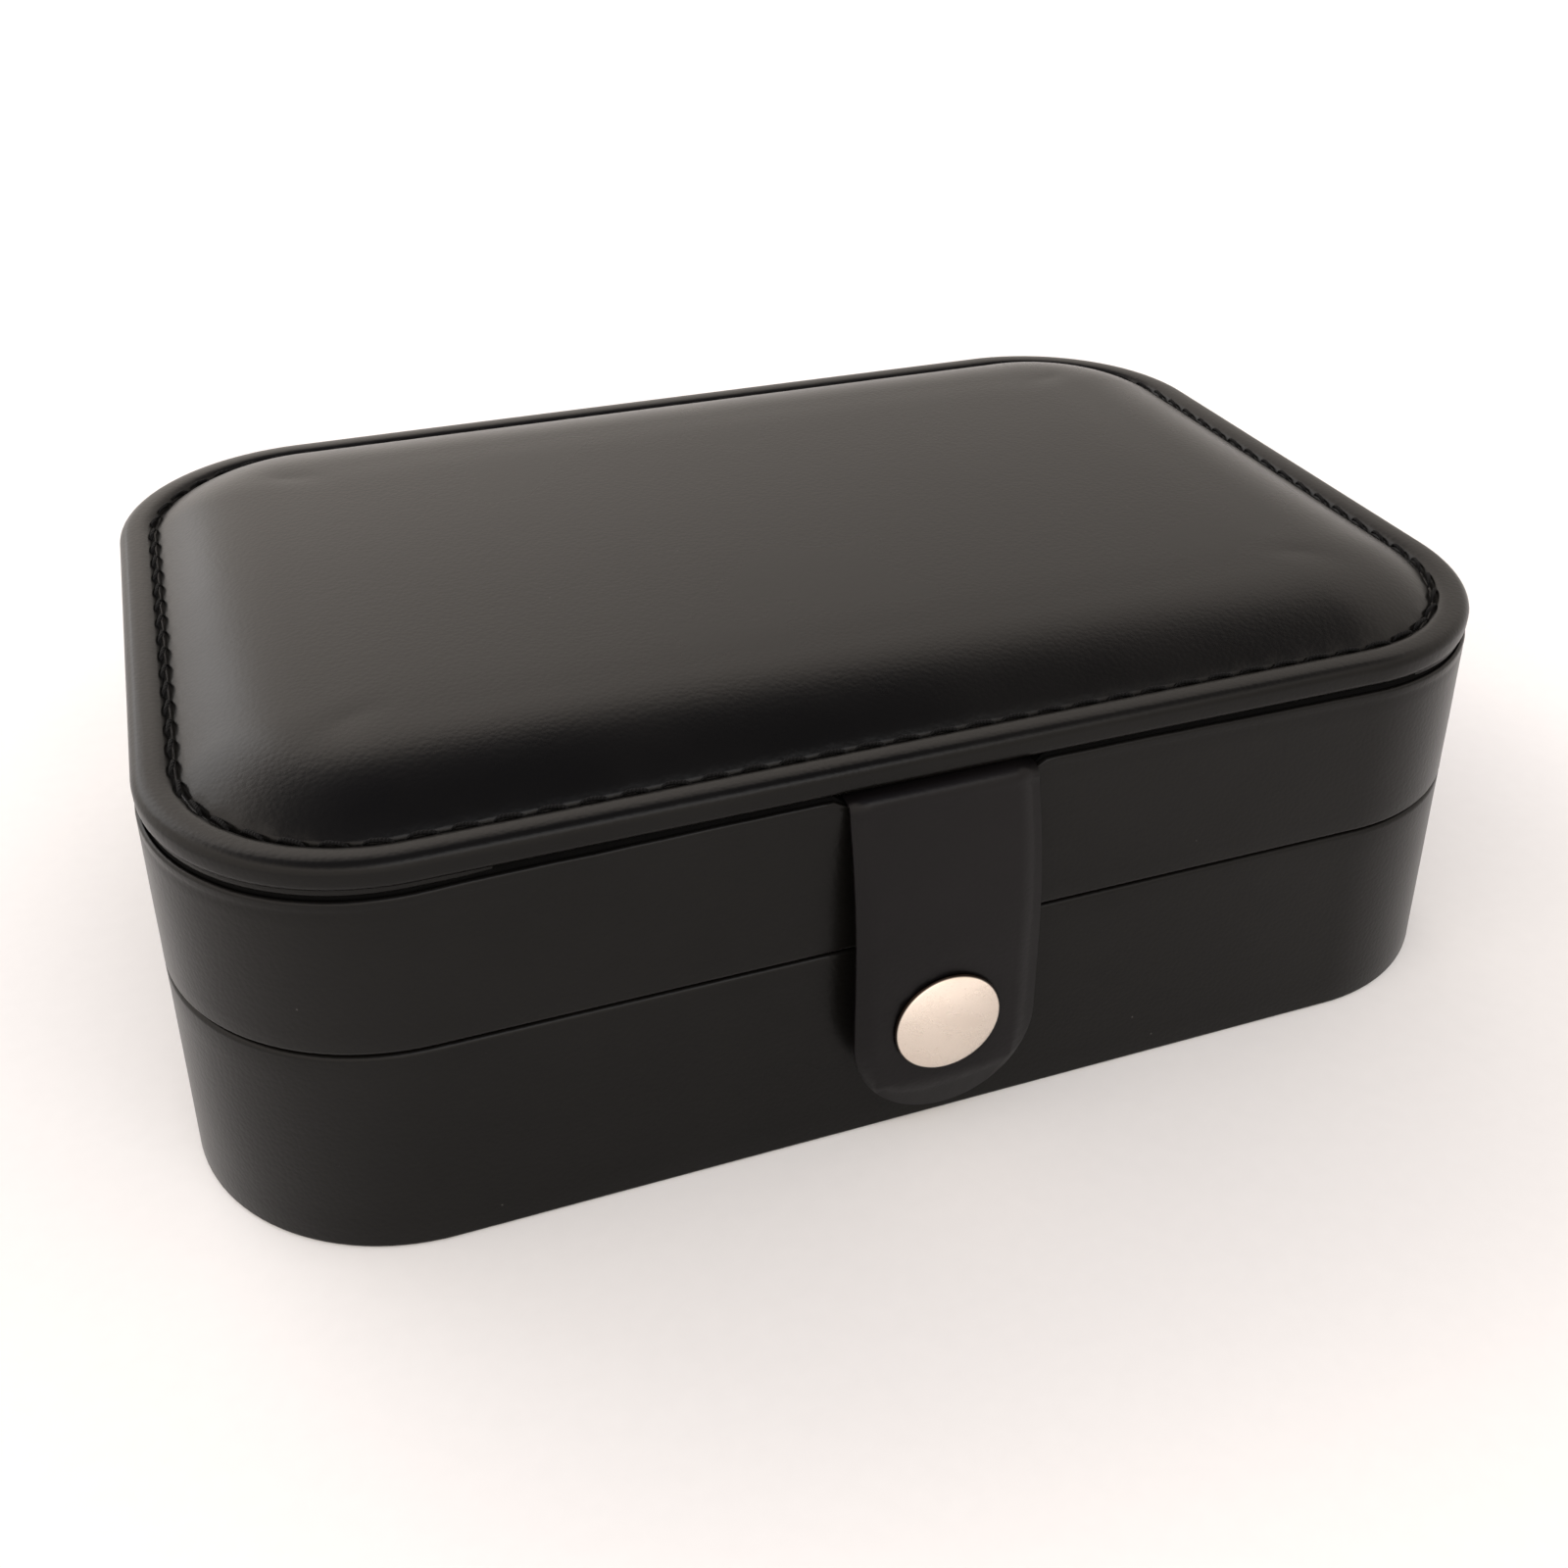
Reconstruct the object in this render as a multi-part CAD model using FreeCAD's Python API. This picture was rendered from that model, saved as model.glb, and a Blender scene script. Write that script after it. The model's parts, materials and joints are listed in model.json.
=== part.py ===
import FreeCAD, Part
import math
import os

# Travel jewelry box: a leather-covered base and lid, joined at the back by a leather strip and
# closed at the front by a flap with a press stud.
# Frame: +X right along the front, +Y to the back, +Z up. The origin is the middle of the
# underside. All sizes are in millimetres.

V = FreeCAD.Vector
X_AXIS = V(1, 0, 0)
Y_AXIS = V(0, 1, 0)
Z_AXIS = V(0, 0, 1)

# Outer sizes
box_length = 165.0
box_depth = 113.0
corner_radius = 26.0
base_height = 27.0
seam_gap = 0.4
lid_wall_height = 20.2
crown_height = 7.4          # padded top above the lid's wall

# Wall layers, from the outside in
leather = 1.0
turned_leather = 0.8        # where the leather is pared and turned over an edge
wall_card = 2.6
lining_gap = 0.5            # room for the ribbon and the rivet head behind the lining
lid_liner_card = 0.8
lip_clearance = 0.4         # base lip to lid liner
lip_card = 1.2
lip_height = 3.4            # the insert's lip above the seam
fit_gap = 0.1
edge_round = 1.2            # leather turned over the seam edges
foot_round = 2.0            # leather turned under the base
lid_top_round = 0.8         # leather turned over the lid's wall, under the bead
card_round = 0.3
card_foot_round = 0.6

# Floor
foot_lift = 0.4             # wall leather clear of the table
bottom_cover = 1.2
bottom_cover_inset = 7.2
floor_card = 2.0
floor_velvet = 0.8

# Padded top
top_card = 1.4
top_leather = 0.8
stitch_inset = 4.6
bead_height = 3.55
bead_middle = 1.3           # height of the bead's widest point above the lid's wall
groove_height = 2.2
crown_run = 16.0
crown_power = 2.6
thread_radius = 0.35
bead_steps = 9
crown_steps = 8

# Tray inside the base
divider_card = 2.4
divider_height = 19.0
cross_divider_x = -4.0
short_divider_x = 37.0
roll_count = 7
roll_pitch = 8.6
roll_gap = 0.4
roll_height = 11.0
tray_card = 0.8

# Inside of the lid
panel_card = 1.7
hook_strip_length = 112.0
hook_strip_width = 11.0
hook_strip_card = 1.2
hook_strip_inset = 15.0     # strip's front edge behind the lid's front
hook_count = 5
hook_pitch = 23.0
hook_wire = 0.8
hook_drop = 2.6
hook_bend = 2.0
rivet_radius = 2.4
rivet_head = 0.8
pocket_length = 120.0
pocket_reach = 38.0
pocket_depth = 7.4
pocket_sheet = 0.8
pocket_back_inset = 10.0
pocket_round = 2.5
band_width = 4.0

# Flap and press stud
flap_width = 22.3
flap_low = 5.0
flap_leather = 0.7
flap_backing = 0.7
bend_radius = 1.05
flap_lean = 12.0            # degrees off upright where the flap leaves its bend
flap_straight_z = 27.0      # below this height the flap hangs straight
tab_length = 8.0
tab_clearance = 0.1
bend_straight = 0.85
snap_z = 17.4
cap_radius = 6.6
cap_rim = 0.5
cap_dome = 1.3
cap_post = 1.4
post_clearance = 0.1
socket_radius = 4.8
socket_bore = 2.3
socket_floor = 0.5
socket_depth = 1.5
stud_flange_radius = 4.2
stud_flange = 0.35
stud_neck = 1.6
stud_ball = 1.9
stud_reach = 1.55
stud_ball_depth = 0.7
stud_ball_round = 0.3
rivet_post = 1.4
rivet_tip = 0.9
rivet_tip_reach = 1.0
stud_rivet_head = 3.0
stud_rivet_head_card = 0.4

# Hinge
hinge_strip_card = 0.6
hinge_overlap = 6.5
hinge_end_gap = 3.0
ribbon_card = 0.4
ribbon_overlap = 6.0

# Heights and insets that follow
lid_low = base_height + seam_gap
lid_top = lid_low + lid_wall_height
card_inset = leather
lining_inset = leather + wall_card
lid_liner_inset = lining_inset + lining_gap
lip_inset = lid_liner_inset + lid_liner_card + lip_clearance
tray_inset = lip_inset + lip_card
floor_low = foot_lift + turned_leather
floor_top = floor_low + floor_card
tray_floor = floor_top + floor_velvet
tray_wall = tray_inset + fit_gap
front_y = -box_depth / 2
back_y = box_depth / 2
tray_left = -box_length / 2 + tray_wall
tray_right = box_length / 2 - tray_wall
tray_front = front_y + tray_wall
tray_back = back_y - tray_wall
panel_low = lid_top - fit_gap - panel_card


def plan_wire(inset, z):
    # The box's rounded-rectangle outline, moved inwards by inset.
    radius = corner_radius - inset
    centre_x = box_length / 2 - corner_radius
    centre_y = box_depth / 2 - corner_radius
    arcs = []
    for side_x, side_y, start in ((1, 1, 0), (-1, 1, 90), (-1, -1, 180), (1, -1, 270)):
        centre = V(side_x * centre_x, side_y * centre_y, z)
        arcs.append(Part.makeCircle(radius, centre, Z_AXIS, start, start + 90))
    edges = []
    for arc, following in zip(arcs, arcs[1:] + arcs[:1]):
        edges.append(arc)
        edges.append(Part.makeLine(arc.Vertexes[-1].Point, following.Vertexes[0].Point))
    return Part.Wire(edges)


def slab(inset, low, high):
    return Part.Face(plan_wire(inset, low)).extrude(V(0, 0, high - low))


def ring(outer_inset, inner_inset, low, high):
    return slab(outer_inset, low, high).cut(slab(inner_inset, low, high))


def rounded_slab(inset, low, high, low_radius, high_radius):
    shape = slab(inset, low, high)
    for level, radius in ((low, low_radius), (high, high_radius)):
        edges = [e for e in shape.Edges if all(abs(v.Z - level) < 1e-6 for v in e.Vertexes)]
        shape = shape.makeFillet(radius, edges)
    return shape


def block(x_low, x_high, y_low, y_high, z_low, z_high):
    return Part.makeBox(x_high - x_low, y_high - y_low, z_high - z_low, V(x_low, y_low, z_low))


def fillet_edges(shape, radius, wanted):
    return shape.makeFillet(radius, [e for e in shape.Edges if wanted(e)])


def along_x(edge):
    first, last = edge.Vertexes[0].Point, edge.Vertexes[-1].Point
    return abs(first.y - last.y) < 1e-6 and abs(first.z - last.z) < 1e-6


def write(name, shape):
    shape.exportStep("parts/" + name + ".step")


# Padded top: its section is a bead outside the stitches, a groove and a crown

def pad_section():
    # (inset, height) from the bead's lower edge, over the bead, to the top of the crown.
    half_width = stitch_inset / 2
    rise = bead_height - bead_middle
    start = -math.degrees(math.asin(bead_middle / rise))
    end = 150.0
    points = []
    for step in range(bead_steps + 1):
        angle = math.radians(start + (end - start) * step / bead_steps)
        inset = half_width - half_width * math.cos(angle)
        points.append((inset, lid_top + bead_middle + rise * math.sin(angle)))
    for step in range(crown_steps + 1):
        share = (step / crown_steps) ** 1.5
        height = groove_height + (crown_height - groove_height) * (1 - (1 - share) ** crown_power)
        points.append((stitch_inset + crown_run * share, lid_top + height))
    return points


def offset_section(points, depth):
    # The same section, moved into the pad by depth. Its ends keep their heights.
    moved = []
    for index, (inset, z) in enumerate(points):
        before = points[max(index - 1, 0)]
        after = points[min(index + 1, len(points) - 1)]
        run, rise = after[0] - before[0], after[1] - before[1]
        size = math.hypot(run, rise)
        moved.append((inset + depth * rise / size, z - depth * run / size))
    moved[0] = (points[0][0] + depth, points[0][1])
    return moved


def pad_form(section):
    return Part.makeLoft([plan_wire(inset, z) for inset, z in section], True, True)


def tab_notch():
    half = flap_width / 2 + tab_clearance
    low, high = lid_top, lid_top + flap_leather + 2 * tab_clearance
    return block(-half, half, front_y - leather, front_y + tab_length + tab_clearance, low, high)


def make_padded_top():
    outer = pad_form(pad_section())
    inner = pad_form(offset_section(pad_section(), top_leather))
    card_top = lid_top + top_card
    board = slab(stitch_inset / 2 - 0.6, lid_top, card_top)
    board = board.common(inner).cut(tab_notch())
    write("lid_top_board", board)
    write("lid_foam_pad", inner.common(slab(0, card_top, lid_top + crown_height)))
    write("lid_top_leather", outer.cut(inner).cut(tab_notch()))
    path = plan_wire(stitch_inset, lid_top + groove_height + 1.5 * thread_radius)
    start = path.Edges[0].Vertexes[0].Point
    section = Part.Wire(Part.makeCircle(thread_radius, start, Y_AXIS))
    write("stitch_thread", path.makePipeShell([section], True, False))


def snap_cylinder(radius, near, far):
    # A cylinder on the press stud's axis. near and far are distances out from the front wall.
    return Part.makeCylinder(radius, far - near, V(0, front_y - near, snap_z), -Y_AXIS)


def make_walls():
    inside = rounded_slab(card_inset, floor_low, base_height - turned_leather, card_foot_round, card_round)
    opening = slab(lining_inset, floor_low, base_height)
    hole = snap_cylinder(rivet_post + post_clearance, -lining_inset - 1, leather)
    write("base_wall_card", inside.cut(opening).cut(hole))
    skin = rounded_slab(0, foot_lift, base_height, foot_round, edge_round)
    skin = skin.cut(inside).cut(opening)
    skin = skin.cut(slab(bottom_cover_inset - fit_gap, 0, floor_low))
    write("base_wall_leather", skin.cut(hole))

    card_low, card_high = lid_low + turned_leather, lid_top - turned_leather
    inside = rounded_slab(card_inset, card_low, card_high, card_round, card_round)
    opening = slab(lining_inset, lid_low, lid_top)
    write("lid_wall_card", inside.cut(opening))
    skin = rounded_slab(0, lid_low, lid_top, edge_round, lid_top_round)
    write("lid_wall_leather", skin.cut(inside).cut(opening))


def make_floor():
    write("bottom_cover", rounded_slab(bottom_cover_inset, 0, bottom_cover, 0.3, 0.1))
    write("base_floor_card", slab(lining_inset + fit_gap, floor_low, floor_top))
    write("floor_velvet", slab(tray_wall, floor_top, tray_floor))


def make_insert():
    wall = ring(lid_liner_inset, tray_inset, floor_top, base_height - fit_gap)
    lip = ring(lip_inset, tray_inset, base_height - fit_gap, base_height + lip_height)
    write("tray_wall", wall.fuse(lip).removeSplitter())


def divider(x_low, x_high, y_low, y_high):
    shape = block(x_low, x_high, y_low, y_high, tray_floor, tray_floor + divider_height)
    long_way_is_x = x_high - x_low > y_high - y_low

    def top_edge(edge):
        if any(abs(v.Z - tray_floor - divider_height) > 1e-6 for v in edge.Vertexes):
            return False
        return along_x(edge) == long_way_is_x

    return fillet_edges(shape, divider_card * 0.4, top_edge)


def make_tray():
    half = divider_card / 2
    right_start = cross_divider_x + half + fit_gap
    write("cross_divider", divider(cross_divider_x - half, cross_divider_x + half, tray_front, tray_back))
    write("long_divider", divider(right_start, tray_right, -half, half))
    short = divider(short_divider_x - half, short_divider_x + half, half + fit_gap, tray_back)
    write("short_divider", short)

    ring_right = cross_divider_x - half - fit_gap
    bank = roll_count * roll_pitch / 2
    inside = slab(tray_wall, tray_floor, tray_floor + divider_height)
    for name, side in (("front_tray_end", -1), ("back_tray_end", 1)):
        near, far = sorted((side * (bank + fit_gap), side * (bank + fit_gap + divider_card)))
        write(name, divider(tray_left, ring_right, near, far).common(inside))
    board = block(tray_left, ring_right, -bank, bank, tray_floor, tray_floor + tray_card)
    write("ring_tray_card", board.common(inside))
    radius = (roll_pitch - roll_gap) / 2
    low = tray_floor + tray_card
    high = low + roll_height - radius
    for index in range(roll_count):
        y = -bank + roll_pitch * (index + 0.5)
        roll = block(tray_left, ring_right, y - radius, y + radius, low, high)
        top = Part.makeCylinder(radius, ring_right - tray_left, V(tray_left, y, high), X_AXIS)
        write("ring_roll_" + str(index + 1), roll.fuse(top).removeSplitter().common(inside))


def make_lid_lining():
    write("lid_panel", slab(lining_inset + fit_gap, panel_low, lid_top - fit_gap))
    liner_low = lid_low + edge_round
    write("lid_liner", ring(lid_liner_inset, lid_liner_inset + lid_liner_card, liner_low, panel_low - fit_gap))


def make_hooks():
    strip_low = panel_low - hook_strip_card
    strip_front = front_y + hook_strip_inset
    half = hook_strip_length / 2
    strip = block(-half, half, strip_front, strip_front + hook_strip_width, strip_low, panel_low)
    strip = fillet_edges(strip, hook_strip_width * 0.3, lambda e: abs(e.Vertexes[0].Z - e.Vertexes[-1].Z) > 0.5)
    write("hook_strip", strip)
    y = strip_front + hook_strip_width / 2
    hooks, rivets = [], []
    for index in range(hook_count):
        x = (index - (hook_count - 1) / 2) * hook_pitch
        top = strip_low - rivet_head
        rivets.append(Part.makeCylinder(rivet_radius, rivet_head, V(x, y, top)))
        low = top - hook_drop
        turn = V(x, y - hook_bend, low)
        half_turn = math.sqrt(0.5) * hook_bend
        drop = Part.makeLine(V(x, y, top), V(x, y, low))
        bend = Part.Arc(V(x, y, low), turn + V(0, half_turn, -half_turn), turn + V(0, 0, -hook_bend))
        end = turn + V(0, -hook_bend, -hook_bend)
        reach = Part.makeLine(turn + V(0, 0, -hook_bend), end)
        path = Part.Wire([drop, bend.toShape(), reach])
        wire = path.makePipe(Part.Face(Part.Wire(Part.makeCircle(hook_wire, V(x, y, top), Z_AXIS))))
        hooks.append(wire.fuse(Part.makeSphere(hook_wire * 1.5, end)).removeSplitter())
    write("necklace_hooks", Part.makeCompound(hooks))
    write("hook_rivets", Part.makeCompound(rivets))


def make_pocket():
    half = pocket_length / 2
    back = back_y - pocket_back_inset
    mouth = back - pocket_reach
    low = panel_low - pocket_depth
    outer = block(-half, half, mouth, back, low, panel_low)

    def lower_edge(edge):
        low_ends = all(abs(v.Z - low) < 1e-6 for v in edge.Vertexes)
        return low_ends and not all(abs(v.Y - mouth) < 1e-6 for v in edge.Vertexes)

    outer = fillet_edges(outer, pocket_round, lower_edge)
    t = pocket_sheet
    inner = block(-half + t, half - t, mouth - t, back - t, low + t, panel_low)
    write("lid_pocket", outer.cut(inner))
    band_half = half - pocket_round
    write("pocket_band", block(-band_half, band_half, mouth - band_width, mouth, low, low + 2 * t))


# Flap

def flap_section(near, far):
    # The flap's side section between two distances, measured out from its middle surface.
    lean = math.radians(flap_lean)
    top = lid_top + tab_clearance - bend_radius - bend_straight
    radius = (top - flap_straight_z) / math.sin(lean)
    stand = bend_radius + radius * (1 - math.cos(lean))
    centre = V(0, front_y - stand + radius, flap_straight_z)
    edges = []
    for offset in (near, far):
        size = radius + offset
        angles = [0, math.asin((top - flap_straight_z) / size) / 2, math.asin((top - flap_straight_z) / size)]
        points = [centre + V(0, -size * math.cos(a), size * math.sin(a)) for a in angles]
        foot = V(0, points[0].y, flap_low)
        edges.append((Part.makeLine(foot, points[0]), Part.Arc(*points).toShape()))
    inner, outer = edges
    close_top = Part.makeLine(inner[1].Vertexes[-1].Point, outer[1].Vertexes[-1].Point)
    close_foot = Part.makeLine(outer[0].Vertexes[0].Point, inner[0].Vertexes[0].Point)
    return Part.Face(Part.Wire(Part.__sortEdges__([*inner, close_top, *outer, close_foot]))), stand


def flap_layer(near, far):
    face, stand = flap_section(near, far)
    half = flap_width / 2
    face.translate(V(-half, 0, 0))
    layer = face.extrude(V(flap_width, 0, 0))
    end_z = flap_low + half
    outline = block(-half, half, front_y - 20, front_y, end_z, lid_top)
    outline = outline.fuse(Part.makeCylinder(half, 20, V(0, front_y, end_z), -Y_AXIS))
    return layer.common(outline), stand


def make_cap_head(seat):
    # A turned disc with a domed face, standing on the flap at a distance seat from the front wall.
    rim = seat + cap_rim
    dome_radius = (cap_radius ** 2 + cap_dome ** 2) / (2 * cap_dome)
    dome_centre = rim + cap_dome - dome_radius
    half_angle = math.asin(cap_radius / dome_radius) / 2

    def point(across, out):
        return V(across, front_y - out, snap_z)

    middle = point(dome_radius * math.sin(half_angle), dome_centre + dome_radius * math.cos(half_angle))
    corners = [point(0, rim + cap_dome), point(0, seat), point(cap_radius, seat), point(cap_radius, rim)]
    edges = [Part.makeLine(a, b) for a, b in zip(corners, corners[1:])]
    edges.append(Part.Arc(corners[3], middle, corners[0]).toShape())
    return Part.Face(Part.Wire(edges)).revolve(V(0, 0, snap_z), Y_AXIS, 360)


def make_flap():
    face_leather, stand = flap_layer(0, flap_leather)
    backing, stand = flap_layer(-flap_backing, 0)
    inner_face = stand - flap_backing
    outer_face = stand + flap_leather
    hole = snap_cylinder(cap_post + post_clearance, inner_face - 1, outer_face + 1)
    write("flap_leather", face_leather.cut(hole))
    write("flap_backing", backing.cut(hole))

    cap = make_cap_head(outer_face)
    cap = cap.fuse(snap_cylinder(cap_post, inner_face - socket_floor, outer_face))
    write("snap_cap", cap.removeSplitter())
    socket = snap_cylinder(socket_radius, inner_face - socket_depth, inner_face)
    socket = socket.cut(snap_cylinder(socket_bore, inner_face - socket_depth, inner_face - socket_floor))
    write("snap_socket", socket.cut(hole))

    stud = snap_cylinder(stud_flange_radius, 0, stud_flange)
    stud = stud.fuse(snap_cylinder(stud_neck, stud_flange, stud_reach))
    head = snap_cylinder(stud_ball, stud_reach - stud_ball_depth, stud_reach)
    head = fillet_edges(head, stud_ball_round, lambda e: e.Length > stud_ball * 6)
    stud = stud.fuse(head).removeSplitter()
    write("snap_stud", stud.cut(snap_cylinder(rivet_tip + post_clearance, 0, rivet_tip_reach + fit_gap)))
    rivet = snap_cylinder(rivet_post, -lining_inset, 0)
    rivet = rivet.fuse(snap_cylinder(stud_rivet_head, -lining_inset - stud_rivet_head_card, -lining_inset))
    rivet = rivet.fuse(snap_cylinder(rivet_tip, 0, rivet_tip_reach))
    write("snap_rivet", rivet.removeSplitter())


def make_flap_root():
    half = flap_width / 2
    low = lid_top + tab_clearance
    write("flap_tab", block(-half, half, front_y, front_y + tab_length, low, low + flap_leather))
    centre_z = low - bend_radius
    outer = Part.makeCylinder(bend_radius + flap_leather, flap_width, V(-half, front_y, centre_z), X_AXIS)
    inner = Part.makeCylinder(bend_radius, flap_width, V(-half, front_y, centre_z), X_AXIS)
    size = bend_radius + flap_leather
    quarter = block(-half, half, front_y - size, front_y, centre_z, centre_z + size)
    bend = outer.cut(inner).common(quarter)
    fall = block(-half, half, front_y - size, front_y - bend_radius, centre_z - bend_straight, centre_z)
    write("flap_bend", bend.fuse(fall).removeSplitter())


def make_hinge():
    seam = base_height + seam_gap / 2
    half = box_length / 2 - corner_radius - hinge_end_gap
    low, high = seam - hinge_overlap, seam + hinge_overlap
    write("hinge_strip", block(-half, half, back_y, back_y + hinge_strip_card, low, high))
    face = back_y - lining_inset
    low, high = seam - ribbon_overlap, seam + ribbon_overlap
    write("hinge_ribbon", block(-half, half, face - ribbon_card - 0.05, face - 0.05, low, high))


os.makedirs("parts", exist_ok=True)
make_floor()
make_walls()
make_insert()
make_tray()
make_padded_top()
make_lid_lining()
make_hooks()
make_pocket()
make_flap()
make_flap_root()
make_hinge()
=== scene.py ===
import bmesh
import bpy
import json
import math
import random
from mathutils import Matrix, Vector, noise


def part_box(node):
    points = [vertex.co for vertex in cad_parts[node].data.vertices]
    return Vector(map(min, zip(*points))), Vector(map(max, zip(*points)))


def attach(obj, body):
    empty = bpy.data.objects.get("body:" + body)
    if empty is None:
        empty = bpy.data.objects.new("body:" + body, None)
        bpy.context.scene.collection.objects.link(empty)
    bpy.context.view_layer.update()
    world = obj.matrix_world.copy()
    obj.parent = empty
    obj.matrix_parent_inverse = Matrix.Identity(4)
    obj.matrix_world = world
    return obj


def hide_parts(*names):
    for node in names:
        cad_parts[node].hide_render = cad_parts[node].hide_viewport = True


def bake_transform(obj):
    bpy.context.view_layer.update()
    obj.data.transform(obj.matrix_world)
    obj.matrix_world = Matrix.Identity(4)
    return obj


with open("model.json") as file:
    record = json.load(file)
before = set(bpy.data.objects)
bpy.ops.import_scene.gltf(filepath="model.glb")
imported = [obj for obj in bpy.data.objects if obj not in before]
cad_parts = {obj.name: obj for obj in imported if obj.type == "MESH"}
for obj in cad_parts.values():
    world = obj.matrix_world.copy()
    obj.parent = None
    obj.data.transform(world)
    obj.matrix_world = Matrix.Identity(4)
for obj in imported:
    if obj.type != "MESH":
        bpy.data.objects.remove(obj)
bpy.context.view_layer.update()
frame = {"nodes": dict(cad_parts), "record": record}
mm = 0.001


def nodeBox(name):
    low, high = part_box(name)
    return Vector(low), Vector(high)


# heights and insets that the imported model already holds
capLow, capHigh = nodeBox("snap_cap")
wallLow, wallHigh = nodeBox("base_wall_leather")
lidLow, lidHigh = nodeBox("lid_wall_leather")
topLow, topHigh = nodeBox("lid_top_leather")

plan = {
    "halfLength": (wallHigh.x - wallLow.x) / 2,
    "halfDepth": (wallHigh.y - wallLow.y) / 2,
    "cornerRadius": 26 * mm,
}
coreX = plan["halfLength"] - plan["cornerRadius"]
coreY = plan["halfDepth"] - plan["cornerRadius"]


# The box's outline is a rectangle grown by a radius. planParts splits a point into its foot on
# the rectangle and the direction out from it.
def planParts(co):
    core = Vector((max(-coreX, min(coreX, co.x)), max(-coreY, min(coreY, co.y)), 0))
    out = Vector((co.x, co.y, 0)) - core
    if out.length < 1e-7:
        return core, None
    return core, out.normalized()


def toPlan(co, inset, z):
    core, out = planParts(co)
    flat = core + out * (plan["cornerRadius"] - inset)
    return Vector((flat.x, flat.y, z))


def insetOf(co):
    core, out = planParts(co)
    if out is None:
        return plan["cornerRadius"] + min(coreX - abs(co.x), coreY - abs(co.y))
    return plan["cornerRadius"] - (Vector((co.x, co.y, 0)) - core).length


def startRing(bm, inset, z, cornerSteps, frontCuts, sideCuts):
    size = Matrix.Diagonal((plan["halfLength"], plan["halfDepth"], 1, 1))
    corners = bmesh.ops.create_grid(bm, x_segments=1, y_segments=1, size=1, matrix=size)["verts"]
    bmesh.ops.bevel(bm, geom=corners, offset=plan["cornerRadius"], offset_type="OFFSET",
                    segments=cornerSteps, profile=0.5, affect="VERTICES", material=-1)
    for edge in list(bm.edges):
        along = edge.verts[1].co - edge.verts[0].co
        if along.length > plan["cornerRadius"]:
            cuts = frontCuts if abs(along.x) > abs(along.y) else sideCuts
            bmesh.ops.subdivide_edges(bm, edges=[edge], cuts=cuts)
    bmesh.ops.delete(bm, geom=list(bm.faces), context="FACES_ONLY")
    for vert in bm.verts:
        vert.co = toPlan(vert.co, inset, z)
    return list(bm.edges)


def pullRing(bm, edges):
    made = bmesh.ops.extrude_edge_only(bm, edges=edges)["geom"]
    verts = [g for g in made if isinstance(g, bmesh.types.BMVert)]
    fresh = set(verts)
    ring = [g for g in made if isinstance(g, bmesh.types.BMEdge) and set(g.verts) <= fresh]
    return verts, ring


def sweep(bm, edges, section):
    for inset, z in section:
        verts, edges = pullRing(bm, edges)
        for vert in verts:
            vert.co = toPlan(vert.co, inset, z)
    return edges


def arc(inset, z, radius, start, end, steps):
    # angles in degrees, 0 pointing outwards and 90 up
    turns = [math.radians(start + (end - start) * i / steps) for i in range(steps + 1)]
    return [(inset - radius * math.cos(t), z + radius * math.sin(t)) for t in turns]


def ladder(inset, low, high, steps):
    return [(inset, low + (high - low) * i / steps) for i in range(1, steps)]


def closedBand(section, cornerSteps, frontCuts, sideCuts):
    # a closed shell whose section is a loop of (inset, z)
    bm = bmesh.new()
    first = startRing(bm, *section[0], cornerSteps, frontCuts, sideCuts)
    last = sweep(bm, first, section[1:])
    bmesh.ops.bridge_loops(bm, edges=first + last)
    faceOut(bm)
    return bm


def faceOut(bm):
    bmesh.ops.recalc_face_normals(bm, faces=list(bm.faces))


def cutPlane(bm, at, normal):
    bmesh.ops.bisect_plane(bm, geom=list(bm.verts) + list(bm.edges) + list(bm.faces), dist=0.01 * mm,
                           plane_co=at, plane_no=normal)


def meshOf(name, bm):
    mesh = bpy.data.meshes.new(name)
    bm.to_mesh(mesh)
    bm.free()
    return mesh


def newPiece(name, bm, body, material, replaced=()):
    mesh = meshOf(name, bm)
    for polygon in mesh.polygons:
        polygon.use_smooth = True
    mesh.materials.append(material)
    piece = bpy.data.objects.new(name, mesh)
    bpy.context.collection.objects.link(piece)
    if replaced:
        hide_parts(*replaced)
    if body:
        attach(piece, body)
    return piece


def bevelSharp(bm, width, segments, angle=0.6):
    sharp = [e for e in bm.edges if len(e.link_faces) == 2 and e.calc_face_angle(0) > angle]
    bmesh.ops.bevel(bm, geom=sharp, offset=width, offset_type="OFFSET", segments=segments,
                    profile=0.5, affect="EDGES", clamp_overlap=True, material=-1)


print("plan ready")


def newGroup(name, inputs, outputs):
    tree = bpy.data.node_groups.new(name, "ShaderNodeTree")
    for label, kind, value in inputs:
        socket = tree.interface.new_socket(label, in_out="INPUT", socket_type=kind)
        if value is not None:
            socket.default_value = value
    for label, kind in outputs:
        tree.interface.new_socket(label, in_out="OUTPUT", socket_type=kind)
    return tree, tree.nodes.new("NodeGroupInput"), tree.nodes.new("NodeGroupOutput")


def feed(tree, socket, value):
    # links another node's output, or sets a plain value
    if isinstance(value, bpy.types.NodeSocket):
        tree.links.new(value, socket)
    elif value is not None:
        socket.default_value = value


def put(tree, kind, inputs=None, **settings):
    node = tree.nodes.new("ShaderNode" + kind)
    for key, value in settings.items():
        setattr(node, key, value)
    for key, value in (inputs or {}).items():
        feed(tree, node.inputs[key], value)
    return node


def calc(tree, operation, first, second=None, third=None, clamp=False):
    node = put(tree, "Math", {0: first}, operation=operation, use_clamp=clamp)
    feed(tree, node.inputs[1], second)
    feed(tree, node.inputs[2], third)
    return node.outputs[0]


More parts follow.
